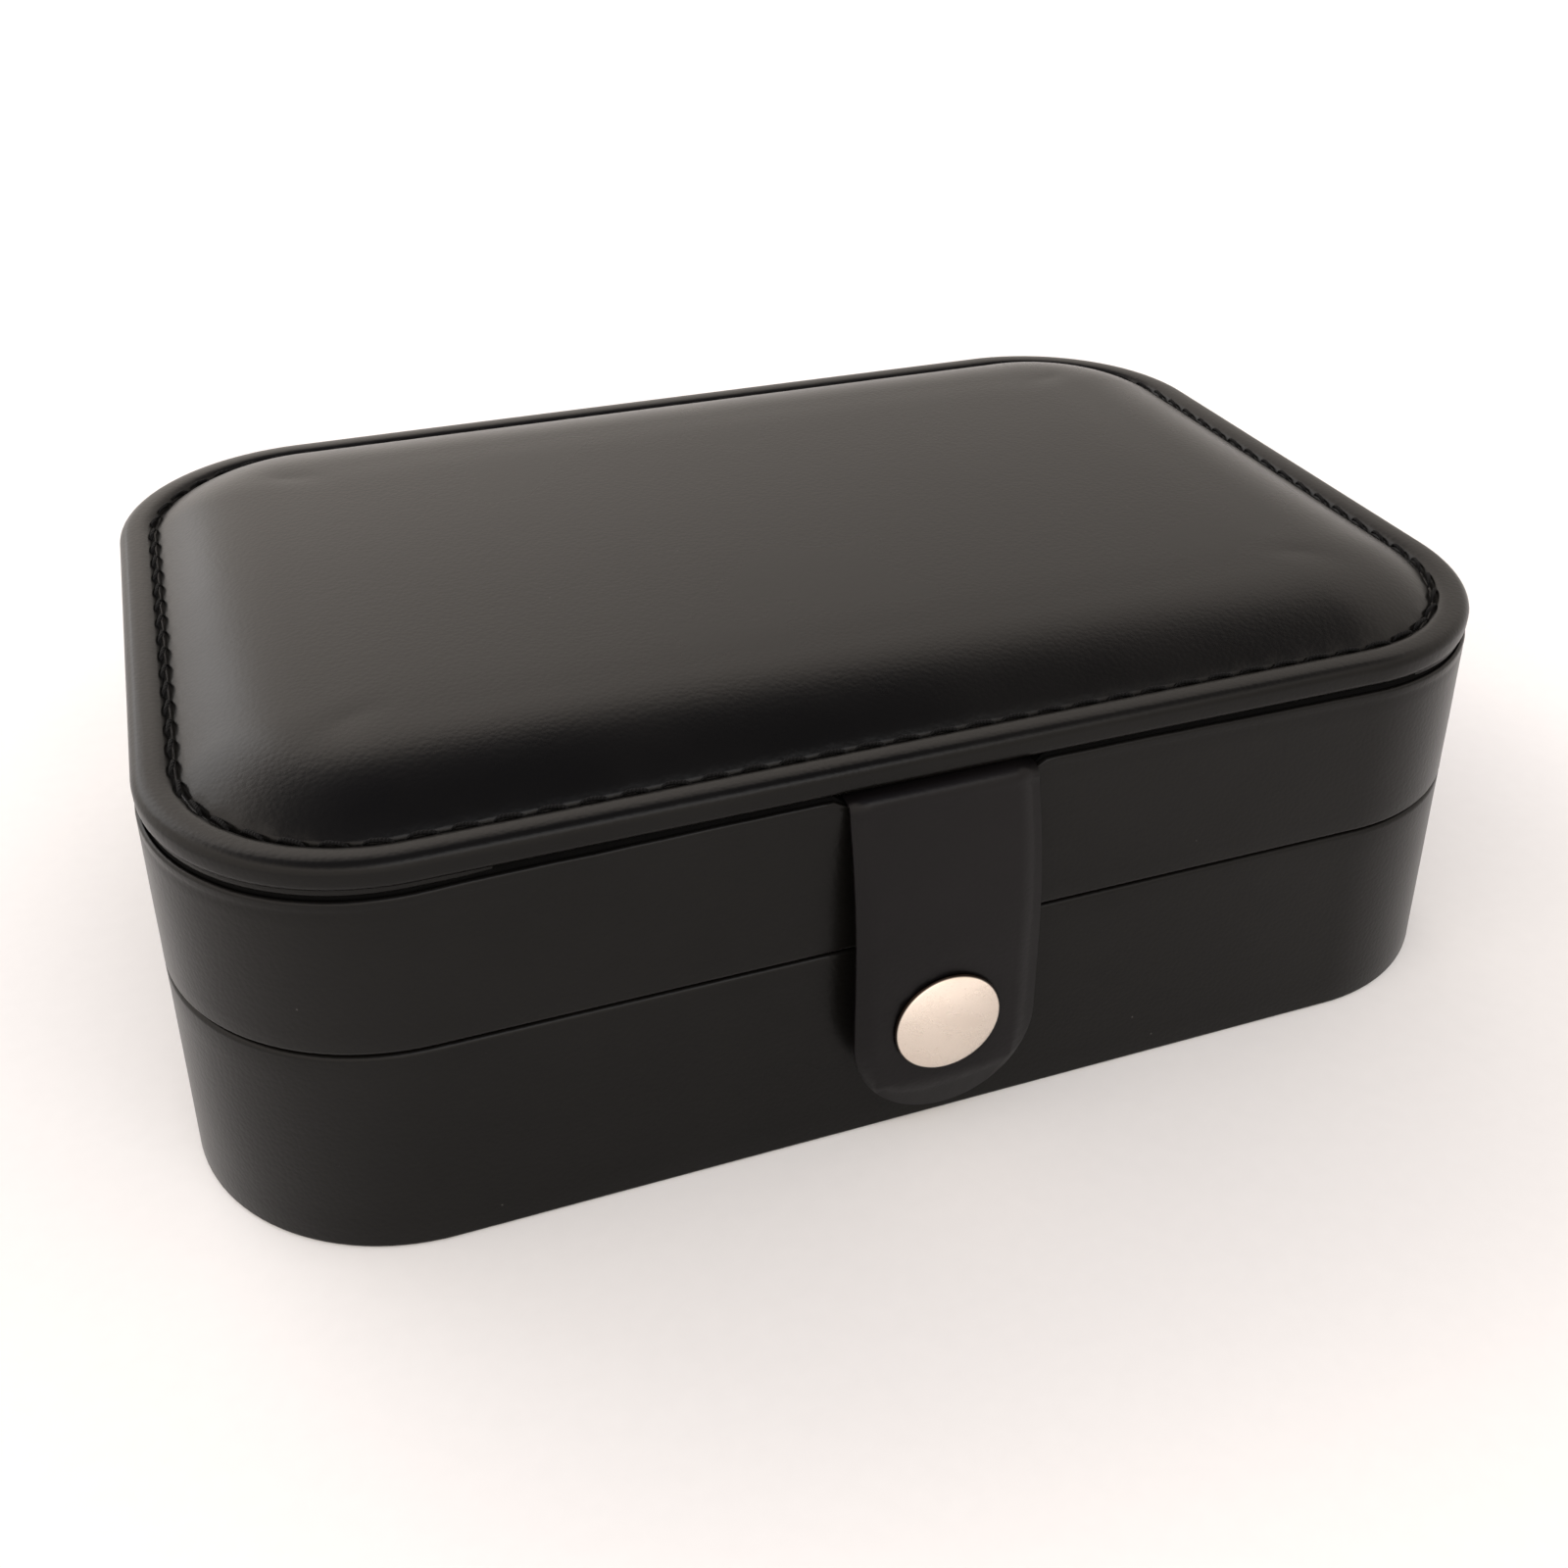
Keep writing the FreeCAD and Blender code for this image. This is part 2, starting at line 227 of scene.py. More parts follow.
def rampMask(tree, value, low, high):
    node = put(tree, "MapRange", {"Value": value, "From Min": low, "From Max": high}, clamp=True,
               interpolation_type="SMOOTHSTEP")
    return node.outputs["Result"]


def mixColour(tree, factor, first, second):
    node = put(tree, "Mix", {0: factor}, data_type="RGBA")
    feed(tree, node.inputs[6], first)
    feed(tree, node.inputs[7], second)
    return node.outputs[2]


# fine leather grain: small closed cells, pores and long soft folds
def makeGrainGroup():
    tree, given, out = newGroup("leatherGrain",
                                [("Vector", "NodeSocketVector", None), ("Cell", "NodeSocketFloat", 1400.0),
                                 ("Fold", "NodeSocketFloat", 0.3)],
                                [("Height", "NodeSocketFloat"), ("Cloud", "NodeSocketFloat")])
    vector = given.outputs["Vector"]
    warp = put(tree, "TexNoise", {"Vector": vector, "Scale": 260.0, "Detail": 2.0})
    bent = put(tree, "VectorMath", {0: warp.outputs["Color"], 1: (0.0006, 0.0006, 0.0006)},
               operation="MULTIPLY")
    moved = put(tree, "VectorMath", {0: vector, 1: bent.outputs[0]}, operation="ADD")
    cells = put(tree, "TexVoronoi", {"Vector": moved.outputs[0], "Scale": given.outputs["Cell"]},
                feature="SMOOTH_F1")
    cells.inputs["Smoothness"].default_value = 0.35
    pores = put(tree, "TexNoise", {"Vector": vector, "Scale": 5200.0, "Detail": 1.0})
    folds = put(tree, "TexNoise", {"Vector": vector, "Scale": 55.0, "Detail": 3.0, "Roughness": 0.5})
    dome = calc(tree, "MULTIPLY", cells.outputs["Distance"], -0.55)
    fine = calc(tree, "MULTIPLY_ADD", pores.outputs["Fac"], 0.16, dome)
    height = calc(tree, "MULTIPLY_ADD", folds.outputs["Fac"], given.outputs["Fold"], fine)
    tree.links.new(height, out.inputs["Height"])
    cloud = put(tree, "TexNoise", {"Vector": vector, "Scale": 22.0, "Detail": 4.0, "Roughness": 0.6})
    tree.links.new(rampMask(tree, cloud.outputs["Fac"], 0.32, 0.72), out.inputs["Cloud"])
    return tree


# sparse lint and dust: tiny specks and a few short fibres
def makeDustGroup():
    tree, given, out = newGroup("dust",
                                [("Vector", "NodeSocketVector", None), ("Amount", "NodeSocketFloat", 0.5)],
                                [("Mask", "NodeSocketFloat")])
    vector = given.outputs["Vector"]
    specks = put(tree, "TexVoronoi", {"Vector": vector, "Scale": 330.0, "Randomness": 1.0}, feature="F1")
    near = rampMask(tree, specks.outputs["Distance"], 0.055, 0.02)
    chosen = put(tree, "SeparateColor", {"Color": specks.outputs["Color"]})
    few = calc(tree, "LESS_THAN", chosen.outputs["Red"], given.outputs["Amount"])
    tree.links.new(calc(tree, "MULTIPLY", near, few), out.inputs["Mask"])
    return tree


# short pile: fine fibres, brushed patches that shift the shade
def makePileGroup():
    tree, given, out = newGroup("velvetPile",
                                [("Vector", "NodeSocketVector", None),
                                 ("Deep", "NodeSocketColor", (0, 0, 0, 1)),
                                 ("Pale", "NodeSocketColor", (1, 1, 1, 1))],
                                [("Color", "NodeSocketColor"), ("Height", "NodeSocketFloat")])
    vector = given.outputs["Vector"]
    fibre = put(tree, "TexNoise", {"Vector": vector, "Scale": 3800.0, "Detail": 2.0, "Roughness": 0.7})
    brushed = put(tree, "TexNoise", {"Vector": vector, "Scale": 75.0, "Detail": 4.0, "Distortion": 0.6})
    patch = rampMask(tree, brushed.outputs["Fac"], 0.3, 0.75)
    both = calc(tree, "MULTIPLY_ADD", fibre.outputs["Fac"], 0.5, calc(tree, "MULTIPLY", patch, 0.5))
    tree.links.new(mixColour(tree, both, given.outputs["Deep"], given.outputs["Pale"]), out.inputs["Color"])
    tree.links.new(fibre.outputs["Fac"], out.inputs["Height"])
    return tree


# hair scratches and a soft cast for plated metal
def makePlateGroup():
    tree, given, out = newGroup("platedMetal",
                                [("Vector", "NodeSocketVector", None),
                                 ("Tone", "NodeSocketColor", (1, 1, 1, 1)),
                                 ("Worn", "NodeSocketColor", (0.5, 0.5, 0.5, 1))],
                                [("Color", "NodeSocketColor"), ("Roughness", "NodeSocketFloat"),
                                 ("Height", "NodeSocketFloat")])
    vector = given.outputs["Vector"]
    stretch = put(tree, "Mapping", {"Vector": vector, "Rotation": (0.3, 0.2, 0.9),
                                    "Scale": (900, 12000, 9000)})
    hair = put(tree, "TexNoise", {"Vector": stretch.outputs[0], "Scale": 1.0, "Detail": 2.0})
    cast = put(tree, "TexNoise", {"Vector": vector, "Scale": 240.0, "Detail": 3.0})
    mask = rampMask(tree, cast.outputs["Fac"], 0.35, 0.7)
    tree.links.new(mixColour(tree, calc(tree, "MULTIPLY", mask, 0.25), given.outputs["Tone"],
                             given.outputs["Worn"]), out.inputs["Color"])
    rough = calc(tree, "MULTIPLY_ADD", hair.outputs["Fac"], 0.10, 0.20)
    tree.links.new(calc(tree, "MULTIPLY_ADD", mask, 0.05, rough), out.inputs["Roughness"])
    tree.links.new(hair.outputs["Fac"], out.inputs["Height"])
    return tree


grainGroup = makeGrainGroup()
dustGroup = makeDustGroup()
pileGroup = makePileGroup()
plateGroup = makePlateGroup()


def newMaterial(name):
    material = bpy.data.materials.new(name)
    material.use_nodes = True
    tree = material.node_tree
    shader = tree.nodes["Principled BSDF"]
    place = tree.nodes.new("ShaderNodeTexCoord").outputs["Object"]
    return material, tree, shader, place


def useGroup(tree, group, inputs):
    node = tree.nodes.new("ShaderNodeGroup")
    node.node_tree = group
    for key, value in inputs.items():
        feed(tree, node.inputs[key], value)
    return node


def addRelief(tree, shader, height, strength, distance):
    relief = put(tree, "Bump", {"Height": height, "Strength": strength, "Distance": distance})
    tree.links.new(relief.outputs["Normal"], shader.inputs["Normal"])


def leatherMaterial(name, deep, pale, cell, fold, rough, bump, dust):
    material, tree, shader, place = newMaterial(name)
    grain = useGroup(tree, grainGroup, {"Vector": place, "Cell": cell, "Fold": fold})
    specks = useGroup(tree, dustGroup, {"Vector": place, "Amount": dust})
    tone = mixColour(tree, grain.outputs["Cloud"], deep, pale)
    tone = mixColour(tree, calc(tree, "MULTIPLY", specks.outputs["Mask"], 0.2), tone, (0.3, 0.29, 0.28, 1))
    tree.links.new(tone, shader.inputs["Base Color"])
    roughness = calc(tree, "MULTIPLY_ADD", grain.outputs["Cloud"], 0.05, rough)
    roughness = calc(tree, "MULTIPLY_ADD", specks.outputs["Mask"], 0.3, roughness)
    tree.links.new(roughness, shader.inputs["Roughness"])
    shader.inputs["IOR"].default_value = 1.245
    addRelief(tree, shader, grain.outputs["Height"], bump, 0.0002)
    return material


def velvetMaterial(name, deep, pale):
    material, tree, shader, place = newMaterial(name)
    pile = useGroup(tree, pileGroup, {"Vector": place, "Deep": deep, "Pale": pale})
    tree.links.new(pile.outputs["Color"], shader.inputs["Base Color"])
    addRelief(tree, shader, pile.outputs["Height"], 0.7, 0.0002)
    shader.inputs["Roughness"].default_value = 0.95
    shader.inputs["Specular IOR Level"].default_value = 0.15
    shader.inputs["Sheen Weight"].default_value = 0.6
    shader.inputs["Sheen Roughness"].default_value = 0.35
    shader.inputs["Sheen Tint"].default_value = (0.75, 0.73, 0.72, 1)
    return material


def metalMaterial(name, tone, worn, rim=None):
    # rim is (centre, radius): painted shadow, the plating is darkened in a thin ring at its rim where the
    # leather meets it
    material, tree, shader, place = newMaterial(name)
    plate = useGroup(tree, plateGroup, {"Vector": place, "Tone": tone, "Worn": worn})
    shade = plate.outputs["Color"]
    if rim:
        centre, radius = rim
        level = put(tree, "VectorMath", {0: place, 1: (1, 0, 1)}, operation="MULTIPLY")
        away = put(tree, "VectorMath", {0: level.outputs[0], 1: (centre.x, 0, centre.z)},
                   operation="DISTANCE")
        # painted shadow: a dark ring near the cap's rim, standing in for the shade where it meets the flap
        paintedShadowRing = rampMask(tree, calc(tree, "DIVIDE", away.outputs["Value"], radius), 0.945, 0.975)
        shade = mixColour(tree, paintedShadowRing, shade, (0.012, 0.008, 0.006, 1))
    tree.links.new(shade, shader.inputs["Base Color"])
    tree.links.new(plate.outputs["Roughness"], shader.inputs["Roughness"])
    addRelief(tree, shader, plate.outputs["Height"], 0.12, 0.00005)
    shader.inputs["Metallic"].default_value = 1.0
    return material


def threadMaterial(name, deep, pale, twistScale):
    material, tree, shader, place = newMaterial(name)
    turned = put(tree, "Mapping", {"Vector": place, "Rotation": (0.0, 0.0, 0.7)})
    plies = put(tree, "TexWave", {"Vector": turned.outputs[0], "Scale": twistScale, "Distortion": 2.0,
                                  "Detail": 1.0}, wave_type="BANDS")
    fuzz = put(tree, "TexNoise", {"Vector": place, "Scale": 6000.0, "Detail": 2.0})
    tone = mixColour(tree, calc(tree, "MULTIPLY", plies.outputs["Fac"], fuzz.outputs["Fac"]), deep, pale)
    tree.links.new(tone, shader.inputs["Base Color"])
    addRelief(tree, shader, plies.outputs["Fac"], 0.6, 0.0001)
    shader.inputs["Roughness"].default_value = 0.85
    shader.inputs["Specular IOR Level"].default_value = 0.15
    return material


def cardMaterial(name, deep, pale):
    material, tree, shader, place = newMaterial(name)
    fibre = put(tree, "TexNoise", {"Vector": place, "Scale": 900.0, "Detail": 5.0, "Roughness": 0.7})
    tree.links.new(mixColour(tree, fibre.outputs["Fac"], deep, pale), shader.inputs["Base Color"])
    addRelief(tree, shader, fibre.outputs["Fac"], 0.4, 0.0001)
    shader.inputs["Roughness"].default_value = 0.9
    return material


blackLeather = leatherMaterial("blackLeather", (0.0026, 0.0024, 0.0021, 1), (0.0042, 0.0039, 0.0035, 1),
                               cell=1700.0, fold=0.25, rough=0.27, bump=0.13, dust=0.08)
flapLeather = leatherMaterial("flapLeather", (0.0036, 0.0031, 0.0034, 1), (0.0054, 0.0048, 0.0051, 1),
                              cell=1900.0, fold=0.3, rough=0.34, bump=0.12, dust=0.08)
backLeather = leatherMaterial("backLeather", (0.016, 0.015, 0.015, 1), (0.024, 0.022, 0.022, 1),
                              cell=1300.0, fold=0.6, rough=0.5, bump=0.35, dust=0.0)
velvet = velvetMaterial("velvet", (0.014, 0.0135, 0.014, 1), (0.045, 0.043, 0.044, 1))
elastic = velvetMaterial("elastic", (0.018, 0.017, 0.018, 1), (0.05, 0.048, 0.05, 1))
thread = threadMaterial("thread", (0.0015, 0.0015, 0.0015, 1), (0.008, 0.008, 0.009, 1), 900.0)
# the last argument places a painted shadow ring at the cap's rim
capPlate = metalMaterial("capPlate", (0.88, 0.77, 0.67, 1), (0.74, 0.63, 0.54, 1),
                         ((capLow + capHigh) / 2, (capHigh.x - capLow.x) / 2))
hookPlate = metalMaterial("hookPlate", (0.78, 0.76, 0.73, 1), (0.55, 0.53, 0.5, 1))
card = cardMaterial("card", (0.24, 0.21, 0.17, 1), (0.38, 0.34, 0.28, 1))
# near-black board with little reflection; on the slit piece this black is painted shade
rawBoard = cardMaterial("rawBoard", (0.0008, 0.0008, 0.0008, 1), (0.0025, 0.0025, 0.0025, 1))
rawBoard.node_tree.nodes["Principled BSDF"].inputs["Specular IOR Level"].default_value = 0.05
print("materials ready")

simFrames = 20


def evenOut(pushes, mesh, passes):
    # shares each point's push with its neighbours, so no crease is left; points that never moved stay
    held = [push.length < 1e-7 for push in pushes]
    pairs = [tuple(edge.vertices) for edge in mesh.edges]
    for turn in range(passes):
        sums = [push.copy() for push in pushes]
        counts = [1] * len(pushes)
        for a, b in pairs:
            sums[a] += pushes[b]
            sums[b] += pushes[a]
            counts[a] += 1
            counts[b] += 1
        pushes = [push if stay else total / count
                  for push, stay, total, count in zip(pushes, held, sums, counts)]
    return pushes


def swell(piece, voxel, pressure, cap, pin=None, subdivide=True, passes=4):
    # cloth pressure, no gravity; how far a point may move is capped, and pin names points that stay
    scene = bpy.context.scene
    body = bpy.data.objects.new(piece.name + "_sim", piece.data.copy())
    for group in piece.vertex_groups:
        body.vertex_groups.new(name=group.name)
    bpy.context.collection.objects.link(body)
    if voxel:
        remesh = body.modifiers.new("remesh", "REMESH")
        remesh.mode = "VOXEL"
        remesh.voxel_size = voxel
        depsgraph = bpy.context.evaluated_depsgraph_get()
        body.data = bpy.data.meshes.new_from_object(body.evaluated_get(depsgraph))
        body.modifiers.clear()
    start = [v.co.copy() for v in body.data.vertices]
    cloth = body.modifiers.new("cloth", "CLOTH")
    cloth.settings.use_pressure = True
    cloth.settings.uniform_pressure_force = pressure
    cloth.settings.effector_weights.gravity = 0
    cloth.settings.quality = 4
    if pin:
        cloth.settings.vertex_group_mass = pin
    cloth.point_cache.frame_start = 1
    cloth.point_cache.frame_end = simFrames
    for step in range(1, simFrames + 1):
        scene.frame_set(step)
    depsgraph = bpy.context.evaluated_depsgraph_get()
    moved = bpy.data.meshes.new_from_object(body.evaluated_get(depsgraph))
    scene.frame_set(1)
    pushes = [vert.co - home for vert, home in zip(moved.vertices, start)]
    for push in pushes:
        if push.length > 0:
            push *= cap * math.tanh(push.length / cap) / push.length
    for vert, home, push in zip(moved.vertices, start, evenOut(pushes, moved, passes)):
        vert.co = home + push
    moved.materials.clear()
    moved.materials.append(piece.data.materials[0])
    for polygon in moved.polygons:
        polygon.use_smooth = True
    piece.data = moved
    bpy.data.objects.remove(body)
    if subdivide:
        finish = piece.modifiers.new("smooth", "SUBSURF")
        finish.levels = finish.render_levels = 1


# padded lid top: bead, stitched channel and crown

pad = {
    "stitchInset": 4.6 * mm,
    "pitch": 4.4 * mm,
    "beadTop": 3.55 * mm,
    "beadMiddle": 1.65 * mm,
    "shoulder": 1.5 * mm,
    "channel": 0.3 * mm,
    "slit": 0.15 * mm,
    "groove": 2.2 * mm,
    "crownRun": 16 * mm,
    "crownPower": 2.6,
    "pucker": 0.07 * mm,
    "pressure": 4.0,
    "cap": 0.3 * mm,
    "slack": 0.25 * mm,
    "cornerSteps": 30,
    "frontCuts": 95,
    "sideCuts": 51,
    "passes": 60,
}
padRise = topHigh.z - topLow.z - pad["slack"]


def crownHeight(inset):
    # height above the lid's wall, from the groove up to the flat of the crown
    share = min(1.0, max(0.0, (inset - pad["stitchInset"]) / pad["crownRun"]))
    shoulder = pad["groove"] + 0.5 * mm * (1 - math.exp(-(inset - pad["stitchInset"]) / (0.35 * mm)))
    return shoulder + (padRise - shoulder) * (1 - (1 - share) ** pad["crownPower"])


def stitchLength():
    return 4 * (coreX + coreY) + 2 * math.pi * (plan["cornerRadius"] - pad["stitchInset"])


def stitchRun(co):
    # distance round the stitch line from the middle of the front, anticlockwise from above
    core, out = planParts(co)
    turn = math.atan2(out.x, -out.y) % (2 * math.pi)
    if turn < 1e-5 and core.x < 0:
        turn = 2 * math.pi
    side = int((turn + math.pi / 4) // (math.pi / 2))
    straight = (core.x, coreX + core.y + coreY, 2 * coreX + 2 * coreY - core.x + coreX,
                3 * coreX + 2 * coreY + coreY - core.y, 4 * (coreX + coreY) + core.x)[side]
    return straight + turn * (plan["cornerRadius"] - pad["stitchInset"])


def pucker(co, inset):
    # leather drawn down at each needle hole and full between them
    away = (inset - pad["stitchInset"] - 0.3 * mm) / (0.9 * mm)
    wave = math.cos(2 * math.pi * stitchRun(co) / pitch)
    return pad["pucker"] * wave * math.exp(-away * away)


stitchCount = round(stitchLength() / pad["pitch"])
pitch = stitchLength() / stitchCount


def padSection():
    # (inset, height) from the tucked-in underside over the bead, down into the channel and up the crown
    low, inset, top = topLow.z, pad["stitchInset"], pad["beadTop"]
    points = [(3.4 * mm, low + pad["slit"] + 0.25 * mm), (2.0 * mm, low + pad["slit"] + 0.05 * mm)]
    points += arc(1.15 * mm, low + pad["slit"] + 1.05 * mm, 1.05 * mm, -80, 0, 6)
    points += arc(pad["shoulder"], low + top - pad["shoulder"], pad["shoulder"] - 0.04 * mm, 10, 78, 6)
    points += [(1.9 * mm, low + top - 0.02 * mm), (2.6 * mm, low + top), (3.2 * mm, low + top - 0.07 * mm)]
    points += [(3.7 * mm, low + top - 0.27 * mm), (4.05 * mm, low + top - 0.6 * mm)]
    points += [(4.3 * mm, low + top - 1.05 * mm), (inset, low + pad["groove"] - pad["channel"])]
    points += [(4.78 * mm, low + pad["groove"] + 0.2 * mm), (4.92 * mm, low + pad["groove"] + 0.62 * mm)]
    for step in range(1, 18):
        across = inset + 0.4 * mm + (pad["crownRun"] - 0.4 * mm) * (step / 17) ** 1.6
        points.append((across, low + crownHeight(across)))
    return points


def fillCrown(bm, ring):
    # the ring's front and back runs are the rails of the grid that closes the top
    rails = []
    for edge in ring:
        core, out = planParts((edge.verts[0].co + edge.verts[1].co) / 2)
        if abs(out.y) > abs(out.x):
            rails.append(edge)
    bmesh.ops.grid_fill(bm, edges=rails, use_smooth=True, use_interp_simple=True)


def makePad():
    bm = bmesh.new()
    section = padSection()
    ring = startRing(bm, *section[0], pad["cornerSteps"], pad["frontCuts"], pad["sideCuts"])
    under = list(ring)
    ring = sweep(bm, ring, section[1:])
    fillCrown(bm, ring)
    top = max(z for inset, z in section)
    for vert in bm.verts:
        inset = insetOf(vert.co)
        if inset > pad["stitchInset"] + pad["crownRun"]:
            vert.co.z = top
        elif vert.co.z > topLow.z + pad["beadMiddle"] and planParts(vert.co)[1] is not None:
            vert.co.z += pucker(vert.co, inset)
    bmesh.ops.holes_fill(bm, edges=under, sides=0)
    faceOut(bm)
    layer = bm.verts.layers.deform.verify()
    for vert in bm.verts:
        away = insetOf(vert.co) - pad["stitchInset"] - 0.6 * mm
        hold = 1.0 if vert.co.z < topLow.z + pad["groove"] else 1 - min(1.0, max(0.0, away / (2.5 * mm)))
        vert[layer][0] = hold
    piece = newPiece("padded_lid_top", bm, "lid", blackLeather,
                     ("lid_top_leather", "lid_foam_pad"))
    piece.vertex_groups.new(name="sewn")
    swell(piece, None, pad["pressure"], pad["cap"], pin="sewn", subdivide=False, passes=pad["passes"])
    return piece


makePad()
print("padded top done")

# leather walls of base and lid

walls = {
    "footLow": 0.1 * mm,
    "footRound": 0.5 * mm,
    "seamRound": 0.6 * mm,
    "seamClose": 0.09 * mm,
    "lipRound": 0.42 * mm,
    "lipDrop": 0.2 * mm,
    "lipFall": 0.7 * mm,
    "layerReach": 32 * mm,
    "flapNotch": 0.92 * mm,
    "skin": 1.0 * mm,
    "turned": 0.8 * mm,
    "wave": 0.10 * mm,
    "cornerSteps": 28,
    "frontCuts": 89,
    "sideCuts": 47,
}
wallInner = walls["skin"] + 2.6 * mm
flapWide = nodeBox("flap_tab")[1].x * 2


def waver(co, amount, scale, seed):
    return amount * noise.noise(Vector((co.x, co.y, co.z)) * scale + Vector((seed, 0, 0)))


def relax(bm, low, high, amount, seed):
    # the outer face is not quite flat: leather over card
    for vert in bm.verts:
        core, out = planParts(vert.co)
        if insetOf(vert.co) > 0.6 * mm:
            continue
        fade = min(1.0, (vert.co.z - low) / (3 * mm), (high - vert.co.z) / (3 * mm))
        push = waver(vert.co, amount, 28.0, seed) + waver(vert.co, amount * 0.35, 95.0, seed + 7)
        vert.co -= out * (abs(push) * max(0.25, fade))


def makeBaseCover():
    low, high = walls["footLow"], wallHigh.z + walls["seamClose"]
    foot, seam, skin = walls["footRound"], walls["seamRound"], walls["skin"]
    section = [(7.0 * mm, low), (4.0 * mm, low)]
    section += arc(foot, low + foot, foot, -90, 0, 8)
    section += ladder(0.0, low + foot, high - seam, 9)
    section += arc(seam, high - seam, seam, 0, 90, 7)
    section += [(wallInner, high), (wallInner, high - walls["turned"]), (skin, high - walls["turned"])]
    section += [(skin, low + walls["turned"]), (7.0 * mm, low + walls["turned"])]
    bm = closedBand(section, walls["cornerSteps"], walls["frontCuts"], walls["sideCuts"])
    relax(bm, low, high, walls["wave"], 3.0)
    return newPiece("base_cover", bm, "base", blackLeather, ("base_wall_leather",))


def layerShow(co):
    # 1 at the near left corner, less at the others, fading to nothing between them
    reach = plan["cornerRadius"] * math.sqrt(0.5)
    spot = Vector((math.copysign(coreX + reach, co.x), math.copysign(coreY + reach, co.y), 0))
    weight = 1.0 if co.x < 0 and co.y < 0 else 0.6
    away = (Vector((co.x, co.y, 0)) - spot).length / walls["layerReach"]
    return weight * math.exp(-away * away)


def makeLidCover():
    low, high = lidLow.z - walls["seamClose"], lidHigh.z
    seam, lip, skin = walls["seamRound"], walls["lipRound"], walls["skin"]
    lipTop = high - walls["lipDrop"]
    section = [(wallInner, low)]
    section += arc(seam, low + seam, seam, -90, 0, 7)
    section += ladder(0.0, low + seam, lipTop - 1.6 * mm, 9)
    section += [(0.0, lipTop - 1.6 * mm), (0.05 * mm, lipTop - 1.3 * mm), (0.02 * mm, lipTop - 1.05 * mm)]
    section += arc(lip, lipTop - lip, lip, 0, 100, 6)
    section += [(0.6 * mm, lipTop - 0.4 * mm), (0.64 * mm, lipTop - 0.65 * mm)]
    section += [(0.88 * mm, lipTop - 0.65 * mm)]
    section += [(0.93 * mm, lipTop - 0.3 * mm), (0.95 * mm, lipTop), (wallInner, lipTop)]
    section += [(wallInner, high - walls["turned"]), (skin, high - walls["turned"])]
    section += [(skin, low + walls["turned"]), (wallInner, low + walls["turned"])]
    bm = closedBand(section, walls["cornerSteps"], walls["frontCuts"], walls["sideCuts"])
    for vert in bm.verts:
        if insetOf(vert.co) < 0.89 * mm and vert.co.z > lipTop - 1.7 * mm:
            drop = walls["lipFall"] * layerShow(vert.co)
            vert.co.z -= drop + waver(vert.co, 0.1 * mm, 80.0, 2.0) + waver(vert.co, 0.05 * mm, 260.0, 5.0)
        if abs(vert.co.x) < flapWide / 2 + 0.5 * mm and vert.co.y < 0 and insetOf(vert.co) < 9 * mm:
            vert.co.z = min(vert.co.z, high - walls["flapNotch"])  # room for the flap's tab
    relax(bm, low, high, walls["wave"], 11.0)
    return newPiece("lid_cover", bm, "lid", blackLeather, ("lid_wall_leather",))


makeBaseCover()
makeLidCover()
print("walls done")

# ring of holes and thread: one slanting stitch from each needle hole to the next

stitches = {
    "radius": 0.33 * mm,
    "length": 3.85 * mm,
    "slant": 10,
    "proud": 1.08 * mm,
    "dip": 0.8 * mm,
    "lineInset": 4.45 * mm,
}


def stitchPlace(run):
    # point and heading on the stitch line at a distance round it, from the middle of the front
    radius = plan["cornerRadius"] - stitches["lineInset"]
    turnLength = math.pi / 2 * radius
    spot, heading = Vector((0, -coreY - radius, 0)), 0.0
    for step, straight in enumerate((coreX, 2 * coreY, 2 * coreX, 2 * coreY, coreX)):
        along = Vector((math.cos(heading), math.sin(heading), 0))
        if run <= straight or step == 4:
            return spot + along * run, heading
        run -= straight
        spot = spot + along * straight
        side = Vector((-along.y, along.x, 0))
        share = min(1.0, run / turnLength)
        centre = spot + side * radius
        angle = share * math.pi / 2
        spot = centre + Matrix.Rotation(angle, 3, "Z") @ (-side * radius)
        heading += angle
        if run <= turnLength:
            return spot, heading
        run -= turnLength


def stitchShape():
    # one stitch along X: round in section, ends diving into the leather
    bm = bmesh.new()
    bmesh.ops.create_cube(bm, size=2)
    along = [e for e in bm.edges if abs(e.verts[0].co.x - e.verts[1].co.x) > 1]
    bmesh.ops.subdivide_edges(bm, edges=along, cuts=7)
    for vert in bm.verts:
        share = vert.co.x
        girth = (math.sqrt(max(0.0, 1 - abs(share) ** 5)) * 0.75 + 0.1) * stitches["radius"]
        lift = stitches["proud"] - stitches["dip"] * share ** 4
        vert.co = Vector((share * stitches["length"] / 2, vert.co.y * girth, vert.co.z * girth * 0.9 + lift))
    return meshOf("stitchShape", bm)


def makeStitches():
    draw = random.Random(5)
    shape = stitchShape()
    bm = bmesh.new()
    loop = 4 * (coreX + coreY) + 2 * math.pi * (plan["cornerRadius"] - stitches["lineInset"])
    for index in range(stitchCount):
        spot, heading = stitchPlace((index + 0.5) * loop / stitchCount)
        spot.z = topLow.z + pad["groove"]
        slant = math.radians(-stitches["slant"] + draw.uniform(-3, 3))
        stretch = Matrix.Scale(draw.uniform(0.95, 1.02), 4, (1, 0, 0))
        before = len(bm.verts)
        bm.from_mesh(shape)
        bm.verts.ensure_lookup_table()
        place = Matrix.Translation(spot) @ Matrix.Rotation(heading + slant, 4, "Z") @ stretch
        bmesh.ops.transform(bm, matrix=place, verts=bm.verts[before:])
    bpy.data.meshes.remove(shape)
    faceOut(bm)
    piece = newPiece("stitches", bm, "lid", thread, ("stitch_thread",))
    finish = piece.modifiers.new("rounding", "SUBSURF")
    finish.levels = finish.render_levels = 1
    return piece


makeStitches()
print("stitches done")

# leather turned over the edge of the top board: a second dark band under the bead

